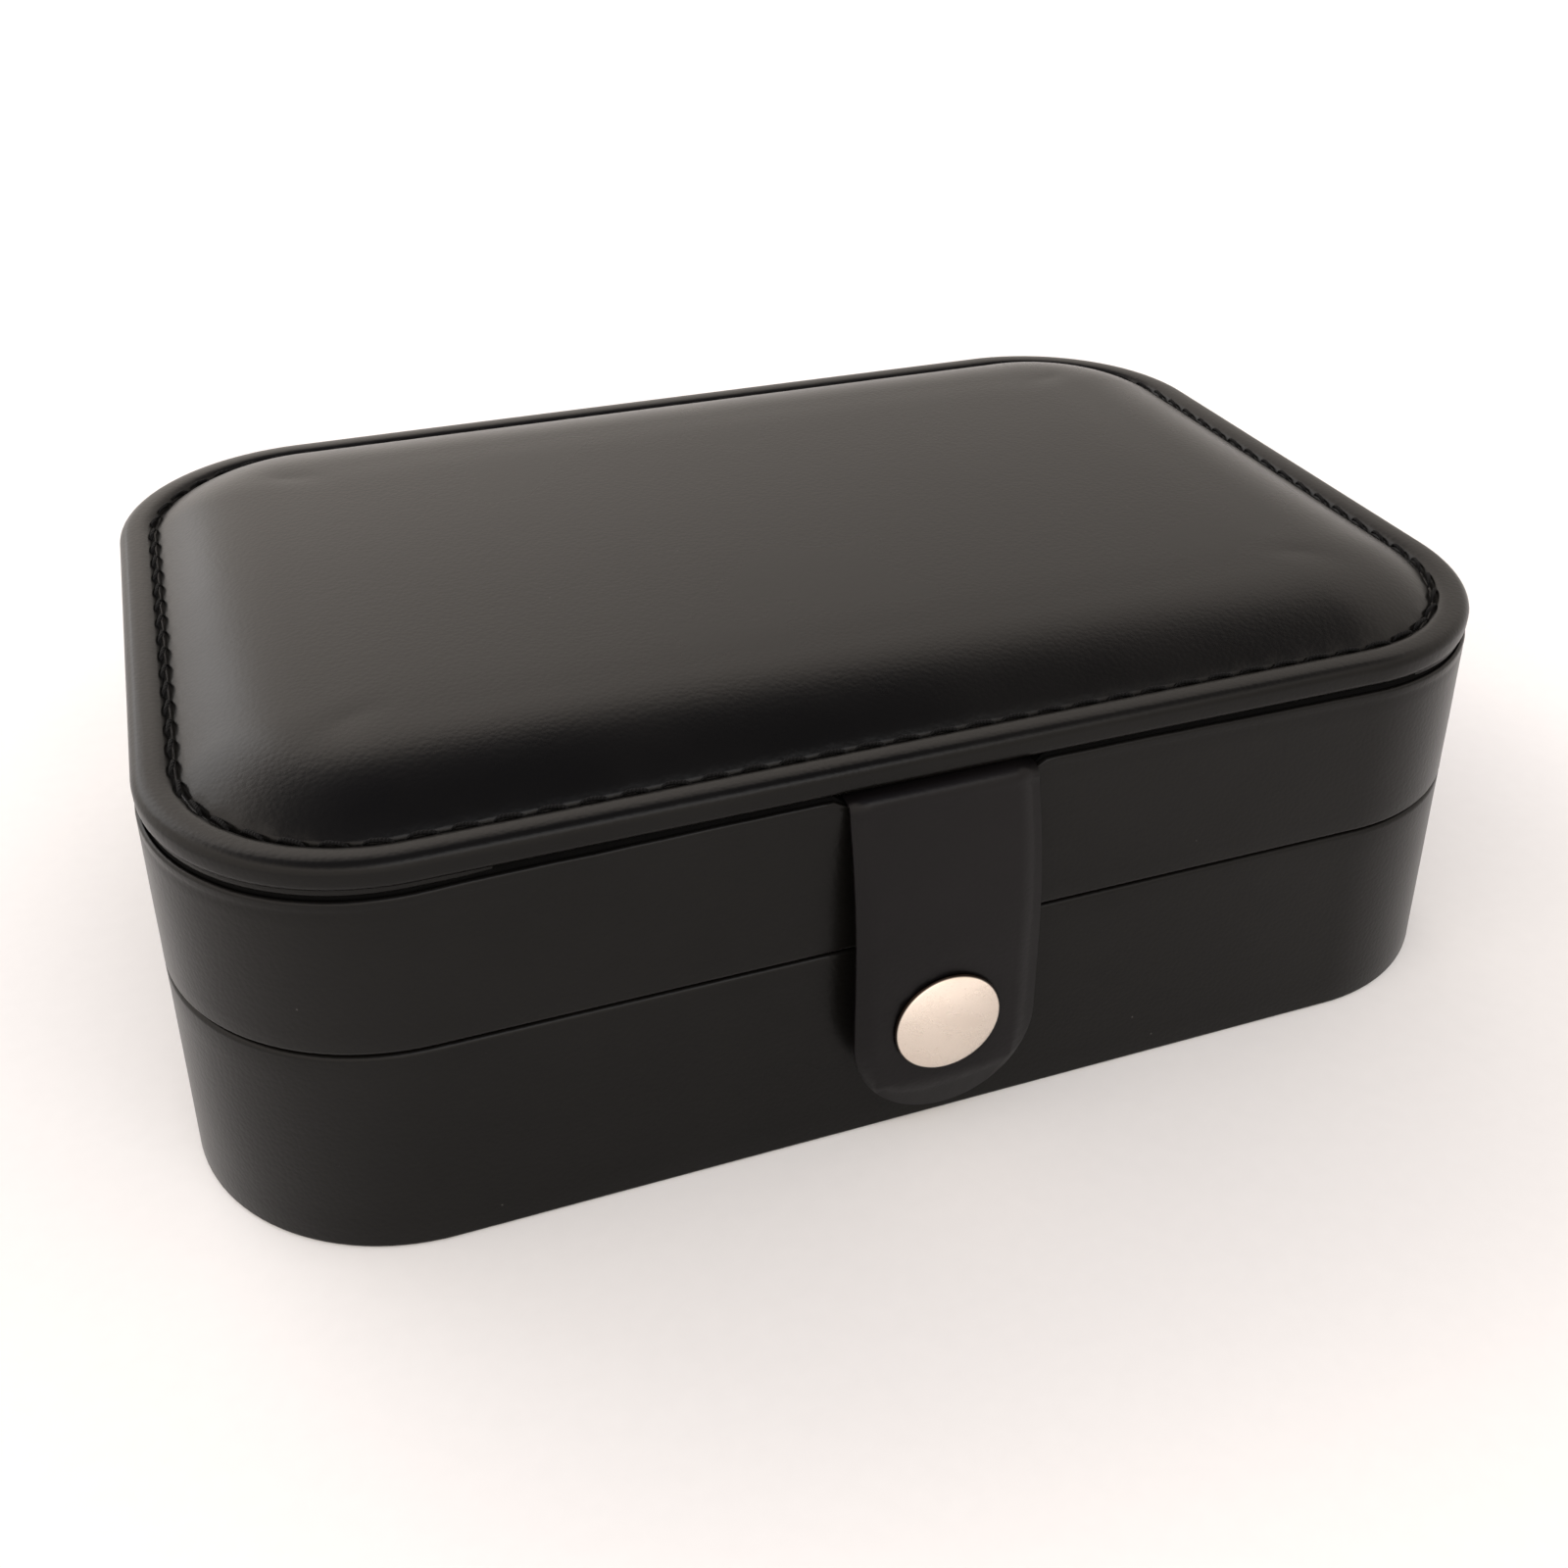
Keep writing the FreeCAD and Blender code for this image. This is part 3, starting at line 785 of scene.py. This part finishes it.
boardEdge = {"inset": 0.45 * mm, "behind": 1.5 * mm, "low": -0.25 * mm, "high": 0.8 * mm, "round": 0.35 * mm,
             "deep": 6 * mm}


def makeBoardEdge():
    low, high = topLow.z + boardEdge["low"], topLow.z + boardEdge["high"]
    inset, edge, deep = boardEdge["inset"], boardEdge["round"], boardEdge["deep"]
    section = [(deep, low)] + arc(inset + edge, low + edge, edge, -90, 0, 4)
    section += arc(inset + edge, high - edge, edge, 0, 90, 4) + [(deep, high)]
    bm = closedBand(section, walls["cornerSteps"], walls["frontCuts"], walls["sideCuts"])
    for vert in bm.verts:
        core, out = planParts(vert.co)
        if insetOf(vert.co) < inset + 2 * edge:
            show = min(1.0, 1.7 * layerShow(vert.co))
            vert.co.z += waver(vert.co, 0.06 * mm, 70.0, 33.0) - 0.12 * mm * show
            vert.co += out * (waver(vert.co, 0.1 * mm, 90.0, 21.0) - boardEdge["behind"] * (1 - show))
        if abs(vert.co.x) < flap["half"] + 0.5 * mm and vert.co.y < 0:
            vert.co.z = max(vert.co.z, tabHigh.z - flap["lower"] + 0.02 * mm)
    newPiece("board_edge", bm, "lid", blackLeather, ("lid_top_board",))


# flap: outer leather over the bend to its tab, and its backing

flapLow, flapHigh = nodeBox("flap_leather")
tabLow, tabHigh = nodeBox("flap_tab")
bendLow, bendHigh = nodeBox("flap_bend")

flap = {
    "half": (flapHigh.x - flapLow.x) / 2,
    "thick": tabHigh.z - tabLow.z,
    "bendRadius": 0.6 * mm,
    "lower": 0.95 * mm,
    "hang": 27 * mm,
    "band": 0.95 * mm,
    "crease": 0.16 * mm,
    "trim": 0.8 * mm,
    "dimple": 0.22 * mm,
    "pressedRings": (0.1, 0.12, 0.16, 0.3, 0.2, 0.06, 0.06, 0.08, 0.16, 0.6, 1.2),
    "plainRings": (0.1, 0.12, 0.16, 0.5),
    "edgeRound": 0.3 * mm,
    "step": 0.1 * mm,
}


rawEdgeShade = {"outer": 0.68 * mm, "inner": 0.9 * mm, "low": -1.6 * mm, "high": 0.32 * mm}


def makeRawEdgeShade():
    # the board's edge in the slit between lip and bead, as a near-black sheet: partly the board's own edge,
    # partly painted shade that makes the slit read black
    low, high = topLow.z + rawEdgeShade["low"], topLow.z + rawEdgeShade["high"]
    outer, inner = rawEdgeShade["outer"], rawEdgeShade["inner"]
    section = [(outer, low), (outer, high), (inner, high), (inner, low)]
    bm = closedBand(section, walls["cornerSteps"], walls["frontCuts"], walls["sideCuts"])
    for vert in bm.verts:
        if abs(vert.co.x) < flap["half"] + 0.5 * mm and vert.co.y < 0:
            vert.co.z = min(vert.co.z, tabLow.z - flap["lower"] - 0.02 * mm)
    newPiece("board_raw_edge_shade", bm, "lid", rawBoard)


makeBoardEdge()
makeRawEdgeShade()


def flapHeading(run, tabRun, bendRun, easeRun, leanRun, lean):
    # angle below the horizontal, in degrees, along the flap's middle surface
    if run < tabRun:
        return 0.0
    run -= tabRun
    if run < bendRun:
        return 90.0 * run / bendRun
    run -= bendRun
    if run < easeRun:
        return 90.0 - lean * run / easeRun
    run -= easeRun
    return min(90.0, 90.0 - lean * (1 - run / leanRun))


def flapLine():
    # stations (y, z, heading) every step down the flap, from the inner end of the tab
    tabRun = tabHigh.y - wallLow.y
    bendRun = flap["bendRadius"] * math.pi / 2
    easeRun = 1.2 * mm
    fall = bendLow.z - flap["hang"]
    stand = wallLow.y - flap["bendRadius"] - (flapLow.y + flap["thick"])
    lean = 2 * math.atan(stand / fall)
    leanRun = fall * lean / math.sin(lean)
    y, z, run, line = tabHigh.y, tabLow.z - flap["lower"], 0.0, []
    while z > flapLow.z:
        heading = math.radians(flapHeading(run, tabRun, bendRun, easeRun, leanRun, math.degrees(lean)))
        line.append((y, z, heading))
        y -= math.cos(heading) * flap["step"]
        z -= math.sin(heading) * flap["step"]
        run += flap["step"]
    return line


flapStations = flapLine()
flapLong = (len(flapStations) - 1) * flap["step"]


def onFlap(co):
    # x across, y down the flap and z out from its middle surface, turned into the frame
    place = max(0.0, min(len(flapStations) - 1.001, co.y / flap["step"]))
    first = int(place)
    share = place - first
    a, b = flapStations[first], flapStations[first + 1]
    y, z, heading = (a[i] + (b[i] - a[i]) * share for i in range(3))
    return Vector((co.x, y - math.sin(heading) * co.z, z + math.cos(heading) * co.z))


def edgeDistance(co):
    endLine = flapLong - flap["half"]
    if co.y < endLine:
        return flap["half"] - abs(co.x)
    return flap["half"] - math.hypot(co.x, co.y - endLine)


def flapSheet(start, near, far, pressed, trim=0.0):
    bm = bmesh.new()
    half, end = flap["half"] - trim, flapLong - trim
    middle = (start + end) / 2
    capRun = flapLong - (capLow.z + capHigh.z) / 2 + flapLow.z
    size = Matrix.Translation((0, middle, 0)) @ Matrix.Diagonal((half, (end - start) / 2, 1, 1))
    corners = bmesh.ops.create_grid(bm, x_segments=1, y_segments=1, size=1, matrix=size)["verts"]
    lower = [v for v in corners if v.co.y > middle]
    bmesh.ops.bevel(bm, geom=lower, offset=half * 0.9995, offset_type="OFFSET", segments=22, profile=0.5,
                    affect="VERTICES", material=-1)
    bmesh.ops.remove_doubles(bm, verts=list(bm.verts), dist=0.02 * mm)
    for step in flap["pressedRings"] if pressed else flap["plainRings"]:
        inner = max(bm.faces, key=lambda f: f.calc_area())
        bmesh.ops.inset_region(bm, faces=[inner], thickness=step * mm, use_even_offset=True)
    cuts = 4 * int((flapLong - start) / (1.6 * mm))
    for index in range(1, cuts):
        y = start + (flapLong - start) * index / cuts
        if (index % 4 and y > (tabHigh.y - tabLow.y) + 6 * mm) or y > flapLong - 0.4 * half:
            continue
        cutPlane(bm, (0, y, 0), (0, 1, 0))
    for index in range(-3, 4):
        cutPlane(bm, (index * half / 4, 0, 0), (1, 0, 0))
    face = list(bm.faces)
    lift = bmesh.ops.extrude_face_region(bm, geom=face)["geom"]
    top = [g for g in lift if isinstance(g, bmesh.types.BMVert)]
    upper = set(top)
    for vert in bm.verts:
        vert.co.z = far if vert in upper else near
    for vert in top:
        away = edgeDistance(vert.co) - trim
        edge = max(0.0, 1 - away / flap["edgeRound"])
        vert.co.z -= 0.5 * flap["edgeRound"] * edge * edge
        if pressed:
            crease = math.exp(-((away - flap["band"]) / (0.09 * mm)) ** 2)
            ridge = math.exp(-((away - flap["band"] - 0.28 * mm) / (0.16 * mm)) ** 2)
            ring = (math.hypot(vert.co.x, vert.co.y - capRun) - cap["radius"]) / (0.9 * mm)
            vert.co.z -= flap["dimple"] * math.exp(-ring * ring)
            vert.co.z += 0.5 * flap["crease"] * ridge - flap["crease"] * crease
            vert.co.z -= 0.03 * mm * max(0.0, 1 - max(0.0, away - flap["band"]) / (0.1 * mm))
    for vert in bm.verts:
        soft = 0.10 * mm * noise.noise(Vector((vert.co.x, vert.co.y, 0)) * 60)
        vert.co = onFlap(vert.co + Vector((0, 0, soft)))
    faceOut(bm)
    return bm


def makeFlap():
    face = newPiece("flap_face", flapSheet(0.0, 0.0, flap["thick"], True), None, flapLeather,
                    ("flap_leather", "flap_bend", "flap_tab"))
    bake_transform(face)
    start = flapLong - (bendLow.z - flapLow.z) * 1.02
    newPiece("flap_lining", flapSheet(start, -flap["thick"], -0.01 * mm, False, flap["trim"]), "flap",
             backLeather, ("flap_backing",))


cap = {
    "radius": (capHigh.x - capLow.x) / 2,
    "domeSteps": 14,
    "domePower": 2.1,
    "turns": 72,
    "post": 1.4 * mm,
}

makeFlap()
print("flap done")

# press-stud cap: turned from a profile of (radius, height above the flap)


def turned(profile, seat, steps):
    # spins the profile round the stud's axis; heights point out of the front
    bm = bmesh.new()
    verts = [bm.verts.new((radius, 0, height)) for radius, height in profile]
    edges = [bm.edges.new(pair) for pair in zip(verts, verts[1:])]
    bmesh.ops.spin(bm, geom=verts + edges, cent=(0, 0, 0), axis=(0, 0, 1), dvec=(0, 0, 0),
                   angle=2 * math.pi, steps=steps, use_merge=True)
    bmesh.ops.remove_doubles(bm, verts=list(bm.verts), dist=0.001 * mm)
    turn = Matrix.Translation(seat) @ Matrix.Rotation(math.pi / 2, 4, "X")
    bmesh.ops.transform(bm, matrix=turn, verts=list(bm.verts))
    faceOut(bm)
    return bm


def makeCap():
    radius = cap["radius"]
    seat = flapLow.y
    top = seat - capLow.y
    rim = [(radius * 0.93, -0.02 * mm), (radius * 0.94, 0.12 * mm), (radius * 0.985, 0.22 * mm),
           (radius, 0.36 * mm), (radius * 0.99, 0.5 * mm), (radius * 0.965, 0.66 * mm),
           (radius * 0.93, 0.76 * mm)]
    lipTop = rim[-1][1]
    dome = []
    for step in range(1, cap["domeSteps"] + 1):
        share = 1 - step / cap["domeSteps"]
        dome.append((rim[-1][0] * share, lipTop + (top - lipTop) * (1 - share ** cap["domePower"])))
    back = [(0.0, seat - capHigh.y), (cap["post"], seat - capHigh.y), (cap["post"], -0.02 * mm)]
    newPiece("snap_cap_dome", turned(back + rim + dome, (0, seat, (capLow.z + capHigh.z) / 2), cap["turns"]),
             "flap", capPlate, ("snap_cap",))


makeCap()
print("press stud done")

# velvet-covered and leather-covered boards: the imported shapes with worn-in, rounded edges

boards = {
    "tray_rim": ("tray_wall", "base", "velvet", 0.45 * mm),
    "tray_floor": ("floor_velvet", "base", "velvet", 0.3 * mm),
    "divider_cross": ("cross_divider", "base", "velvet", 0.5 * mm),
    "divider_long": ("long_divider", "base", "velvet", 0.5 * mm),
    "divider_short": ("short_divider", "base", "velvet", 0.5 * mm),
    "ring_end_front": ("front_tray_end", "base", "velvet", 0.5 * mm),
    "ring_end_back": ("back_tray_end", "base", "velvet", 0.5 * mm),
    "lid_board": ("lid_panel", "lid", "velvet", 0.4 * mm),
    "lid_lining": ("lid_liner", "lid", "velvet", 0.25 * mm),
    "hook_bar": ("hook_strip", "lid", "backing_leather", 0.35 * mm),
    "foot_cover": ("bottom_cover", "base", "box_leather", 0.3 * mm),
}


def copyOf(node):
    bm = bmesh.new()
    bm.from_mesh(frame["nodes"][node].data)
    bmesh.ops.remove_doubles(bm, verts=list(bm.verts), dist=0.002 * mm)
    bmesh.ops.dissolve_limit(bm, angle_limit=0.01, verts=list(bm.verts), edges=list(bm.edges))
    return bm


def roundedCopy(node, width, segments):
    bm = copyOf(node)
    bevelSharp(bm, width, segments)
    faceOut(bm)
    return bm


def markSharp(piece, angle):
    piece.data.shade_smooth()
    piece.data.set_sharp_from_angle(angle=math.radians(angle))


slotFinish = {"velvet": velvet, "backing_leather": backLeather, "box_leather": blackLeather}
for name, (node, body, slotName, width) in boards.items():
    piece = newPiece(name, roundedCopy(node, width, 3), body, slotFinish[slotName], (node,))
    markSharp(piece, 40)
print("boards done")

# ring rolls: foam wrapped in velvet, swollen a little by cloth pressure

rolls = {"count": 7, "shrink": 0.5 * mm, "voxel": 1.5 * mm, "pressure": 4.0, "cap": 0.7 * mm, "slices": 30}


def makeRoll(index):
    node = "ring_roll_" + str(index)
    low, high = nodeBox(node)
    shrink = rolls["shrink"]
    size = high - low
    half = size / 2 - Vector((shrink, shrink, shrink))
    bm = bmesh.new()
    place = Matrix.Translation((low + high) / 2) @ Matrix.Diagonal((*half, 1))
    bmesh.ops.create_cube(bm, size=2, matrix=place)
    long = [e for e in bm.edges if abs(e.verts[0].co.x - e.verts[1].co.x) > 1 * mm]
    upper = [e for e in long if e.verts[0].co.z > (low.z + high.z) / 2]
    bmesh.ops.bevel(bm, geom=upper, offset=half.y * 0.98, offset_type="OFFSET", segments=8, profile=0.5,
                    affect="EDGES", material=-1)
    bevelSharp(bm, 0.8 * mm, 3)
    for step in range(1, rolls["slices"]):
        x = low.x + size.x * step / rolls["slices"]
        cutPlane(bm, (x, 0, 0), (1, 0, 0))
    for vert in bm.verts:
        middle = Vector(((low.x + high.x) / 2, (low.y + high.y) / 2, low.z))
        wave = noise.noise(vert.co * 70 + Vector((index * 3, 0, 0)))
        vert.co += (vert.co - middle) * Vector((0, 0.03, 0.02)) * wave
    faceOut(bm)
    piece = newPiece("ring_cushion_" + str(index), bm, "base", velvet, (node,))
    swell(piece, rolls["voxel"], rolls["pressure"], rolls["cap"])


for index in range(1, rolls["count"] + 1):
    makeRoll(index)
print("ring rolls done")

# gathered pocket in the lid: a pleated sheet sewn round three sides, elastic along its mouth

pocketLow, pocketHigh = nodeBox("lid_pocket")
bandLow, bandHigh = nodeBox("pocket_band")

pocket = {
    "pleats": 26,
    "deep": 0.85 * mm,
    "inset": 0.6 * mm,
    "cloth": 0.35 * mm,
    "flat": (0.128, 0.043),
    "acrossCuts": 312,
    "downCuts": 44,
    "sideFall": 7 * mm,
    "backFall": 9 * mm,
    "bandSlices": 160,
}


def makePocket():
    halfX = (pocketHigh.x - pocketLow.x) / 2 - pocket["inset"]
    mouth, back = pocketLow.y, pocketHigh.y - pocket["inset"]
    ceiling = pocketHigh.z - 0.15 * mm
    drop = pocketHigh.z - pocketLow.z - 1.4 * mm
    bm = bmesh.new()
    size = Matrix.Translation((0, (mouth + back) / 2, 0)) @ Matrix.Diagonal((halfX, (back - mouth) / 2, 1, 1))
    bmesh.ops.create_grid(bm, x_segments=pocket["acrossCuts"], y_segments=pocket["downCuts"], size=1,
                          matrix=size)
    for vert in bm.verts:
        down = (back - vert.co.y) / (back - mouth)
        sideFall = max(0.0, min(1.0, (halfX - abs(vert.co.x)) / pocket["sideFall"]))
        backFall = max(0.0, min(1.0, (back - vert.co.y) / pocket["backFall"]))
        rise = math.sin(sideFall * math.pi / 2) ** 0.8 * math.sin(backFall * math.pi / 2) ** 0.8
        drift = 0.35 * noise.noise(Vector((vert.co.x * 30, vert.co.y * 18, 4)))
        phase = pocket["pleats"] * math.pi * (vert.co.x / halfX) + drift * 6
        depth = pocket["deep"] * (0.35 + 0.65 * down) * rise
        fold = depth * (math.cos(phase) * 0.7 + 0.3 * math.cos(2 * phase + 1))
        sag = 0.5 * mm * noise.noise(Vector((vert.co.x * 45, vert.co.y * 45, 9))) * rise
        vert.co.z = ceiling - drop * rise * (0.8 + 0.2 * down) + fold * 0.8 + sag
        vert.co.x += 0.3 * fold * math.sin(phase)
    faceOut(bm)
    piece = newPiece("lid_pocket_cloth", bm, "lid", velvet, ("lid_pocket",))
    cloth = piece.modifiers.new("cloth", "SOLIDIFY")
    cloth.thickness = pocket["cloth"]
    cloth.offset = 0
    return piece


def makePocketBand():
    low, high = bandLow, bandHigh
    bm = bmesh.new()
    size = high - low
    place = Matrix.Translation((low + high) / 2) @ Matrix.Diagonal((*size, 1))
    bmesh.ops.create_cube(bm, size=1, matrix=place)
    for step in range(1, pocket["bandSlices"]):
        x = low.x + size.x * step / pocket["bandSlices"]
        cutPlane(bm, (x, 0, 0), (1, 0, 0))
    bevelSharp(bm, 0.5 * mm, 3)
    for vert in bm.verts:
        ruffle = math.cos(vert.co.x / (1.9 * mm)) + 0.5 * noise.noise(vert.co * 200)
        vert.co.z += 0.18 * mm * ruffle
        vert.co.y += 0.10 * mm * math.sin(vert.co.x / (2.6 * mm))
    faceOut(bm)
    return newPiece("pocket_elastic", bm, "lid", elastic, ("pocket_band",))


pocketCloth = makePocket()
makePocketBand()
print("pocket done")

# hinge: leather strip outside, lining ribbon inside, each sliced across its height

hinge = {"outerRound": 0.22 * mm, "innerRound": 0.12 * mm, "start": 25.4 * mm, "end": 29.0 * mm, "cuts": 40}


def makeHinge(node, name, material, width):
    low, high = nodeBox(node)
    bm = roundedCopy(node, width, 2)
    for step in range(1, hinge["cuts"]):
        z = low.z + (high.z - low.z) * step / hinge["cuts"]
        cutPlane(bm, (0, 0, z), (0, 0, 1))
    piece = newPiece(name, bm, None, material, (node,))
    markSharp(piece, 40)
    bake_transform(piece)


makeHinge("hinge_strip", "hinge_leather", blackLeather, hinge["outerRound"])
makeHinge("hinge_ribbon", "hinge_lining", velvet, hinge["innerRound"])
print("hinge done")

# floor, light and camera

studio = {
    "floor": 3.0,
    "at": (-69.55 * mm, -199.11 * mm, 151.85 * mm),
    "turn": -19.783,
    "down": 26.532,
    "roll": -0.049,
    "lens": 39.873,
    "shiftY": -0.1375,
}


def makeFloor():
    bm = bmesh.new()
    bmesh.ops.create_grid(bm, x_segments=1, y_segments=1, size=studio["floor"])
    mesh = meshOf("floor", bm)
    floor = bpy.data.objects.new("floor", mesh)
    bpy.context.collection.objects.link(floor)
    material, tree, shader, place = newMaterial("floorPaper")
    fibre = put(tree, "TexNoise", {"Vector": place, "Scale": 400.0, "Detail": 3.0})
    tree.links.new(mixColour(tree, fibre.outputs["Fac"], (0.86, 0.86, 0.86, 1), (0.89, 0.89, 0.89, 1)),
                   shader.inputs["Base Color"])
    shader.inputs["Roughness"].default_value = 0.9
    mesh.materials.append(material)


def makeWorld():
    world = bpy.data.worlds.new("studio")
    bpy.context.scene.world = world
    world.use_nodes = True
    tree = world.node_tree
    sky = tree.nodes["Background"]
    way = put(tree, "TexCoord").outputs["Generated"]
    split = put(tree, "SeparateXYZ", {"Vector": way})
    ramp = put(tree, "ValToRGB", {"Fac": split.outputs["Z"]})
    stops = ramp.color_ramp.elements
    stops[0].position, stops[0].color = 0.0, (0.60, 0.555, 0.515, 1)
    stops[1].position, stops[1].color = 0.84, (0.06, 0.065, 0.09, 1)
    low = stops.new(0.42)
    low.color = (0.62, 0.565, 0.515, 1)
    peak = stops.new(0.68)
    peak.color = (1.0, 0.905, 0.83, 1)
    side = put(tree, "MapRange", {"Value": split.outputs["X"], "From Min": -0.2, "From Max": 0.6,
                                  "To Min": 3.0, "To Max": 1.7}, interpolation_type="SMOOTHSTEP")
    tree.links.new(ramp.outputs["Color"], sky.inputs["Color"])
    tree.links.new(side.outputs["Result"], sky.inputs["Strength"])


def makeLamp(name, at, aim, size, power, colour):
    data = bpy.data.lights.new(name, "AREA")
    data.shape = "RECTANGLE"
    data.size, data.size_y = size
    data.energy = power
    data.color = colour
    lamp = bpy.data.objects.new(name, data)
    lamp.location = at
    lamp.rotation_euler = (Vector(aim) - Vector(at)).to_track_quat("-Z", "Y").to_euler()
    bpy.context.collection.objects.link(lamp)


def makeCamera():
    data = bpy.data.cameras.new("camera")
    data.sensor_width = 36
    data.lens = studio["lens"]
    data.shift_y = studio["shiftY"]
    data.clip_start = 0.01
    camera = bpy.data.objects.new("camera", data)
    turn = Matrix.Rotation(math.radians(studio["turn"]), 4, "Z")
    tilt = Matrix.Rotation(math.radians(90 - studio["down"]), 4, "X")
    roll = Matrix.Rotation(math.radians(studio["roll"]), 4, "Z")
    camera.matrix_world = Matrix.Translation(studio["at"]) @ turn @ tilt @ roll
    bpy.context.collection.objects.link(camera)
    bpy.context.scene.camera = camera


makeFloor()
makeWorld()
makeLamp("frontFill", (0.15, -0.9, 1.15), (0, 0, 0), (0.9, 0.6), 4.0, (0.96, 0.98, 1.0))
makeLamp("backWindow", (-1.1, 1.6, 1.05), (0, 0, 0.05), (1.3, 1.0), 8.0, (0.92, 0.95, 1.0))
makeCamera()
bpy.context.scene.view_settings.view_transform = "Standard"
print("stage done")

nodeFinish = {
    "box_leather": blackLeather,
    "backing_leather": backLeather,
    "wall_card": rawBoard,
    "velvet": velvet,
    "pad_foam": card,
    "thread": thread,
    "elastic": elastic,
    "snap_metal": capPlate,
    "hook_metal": hookPlate,
}
for entry in frame["record"]["subparts"]:
    shown = frame["nodes"][entry["node"]]
    for index in range(len(shown.material_slots)):
        shown.material_slots[index].material = nodeFinish[entry["material_slot"]]
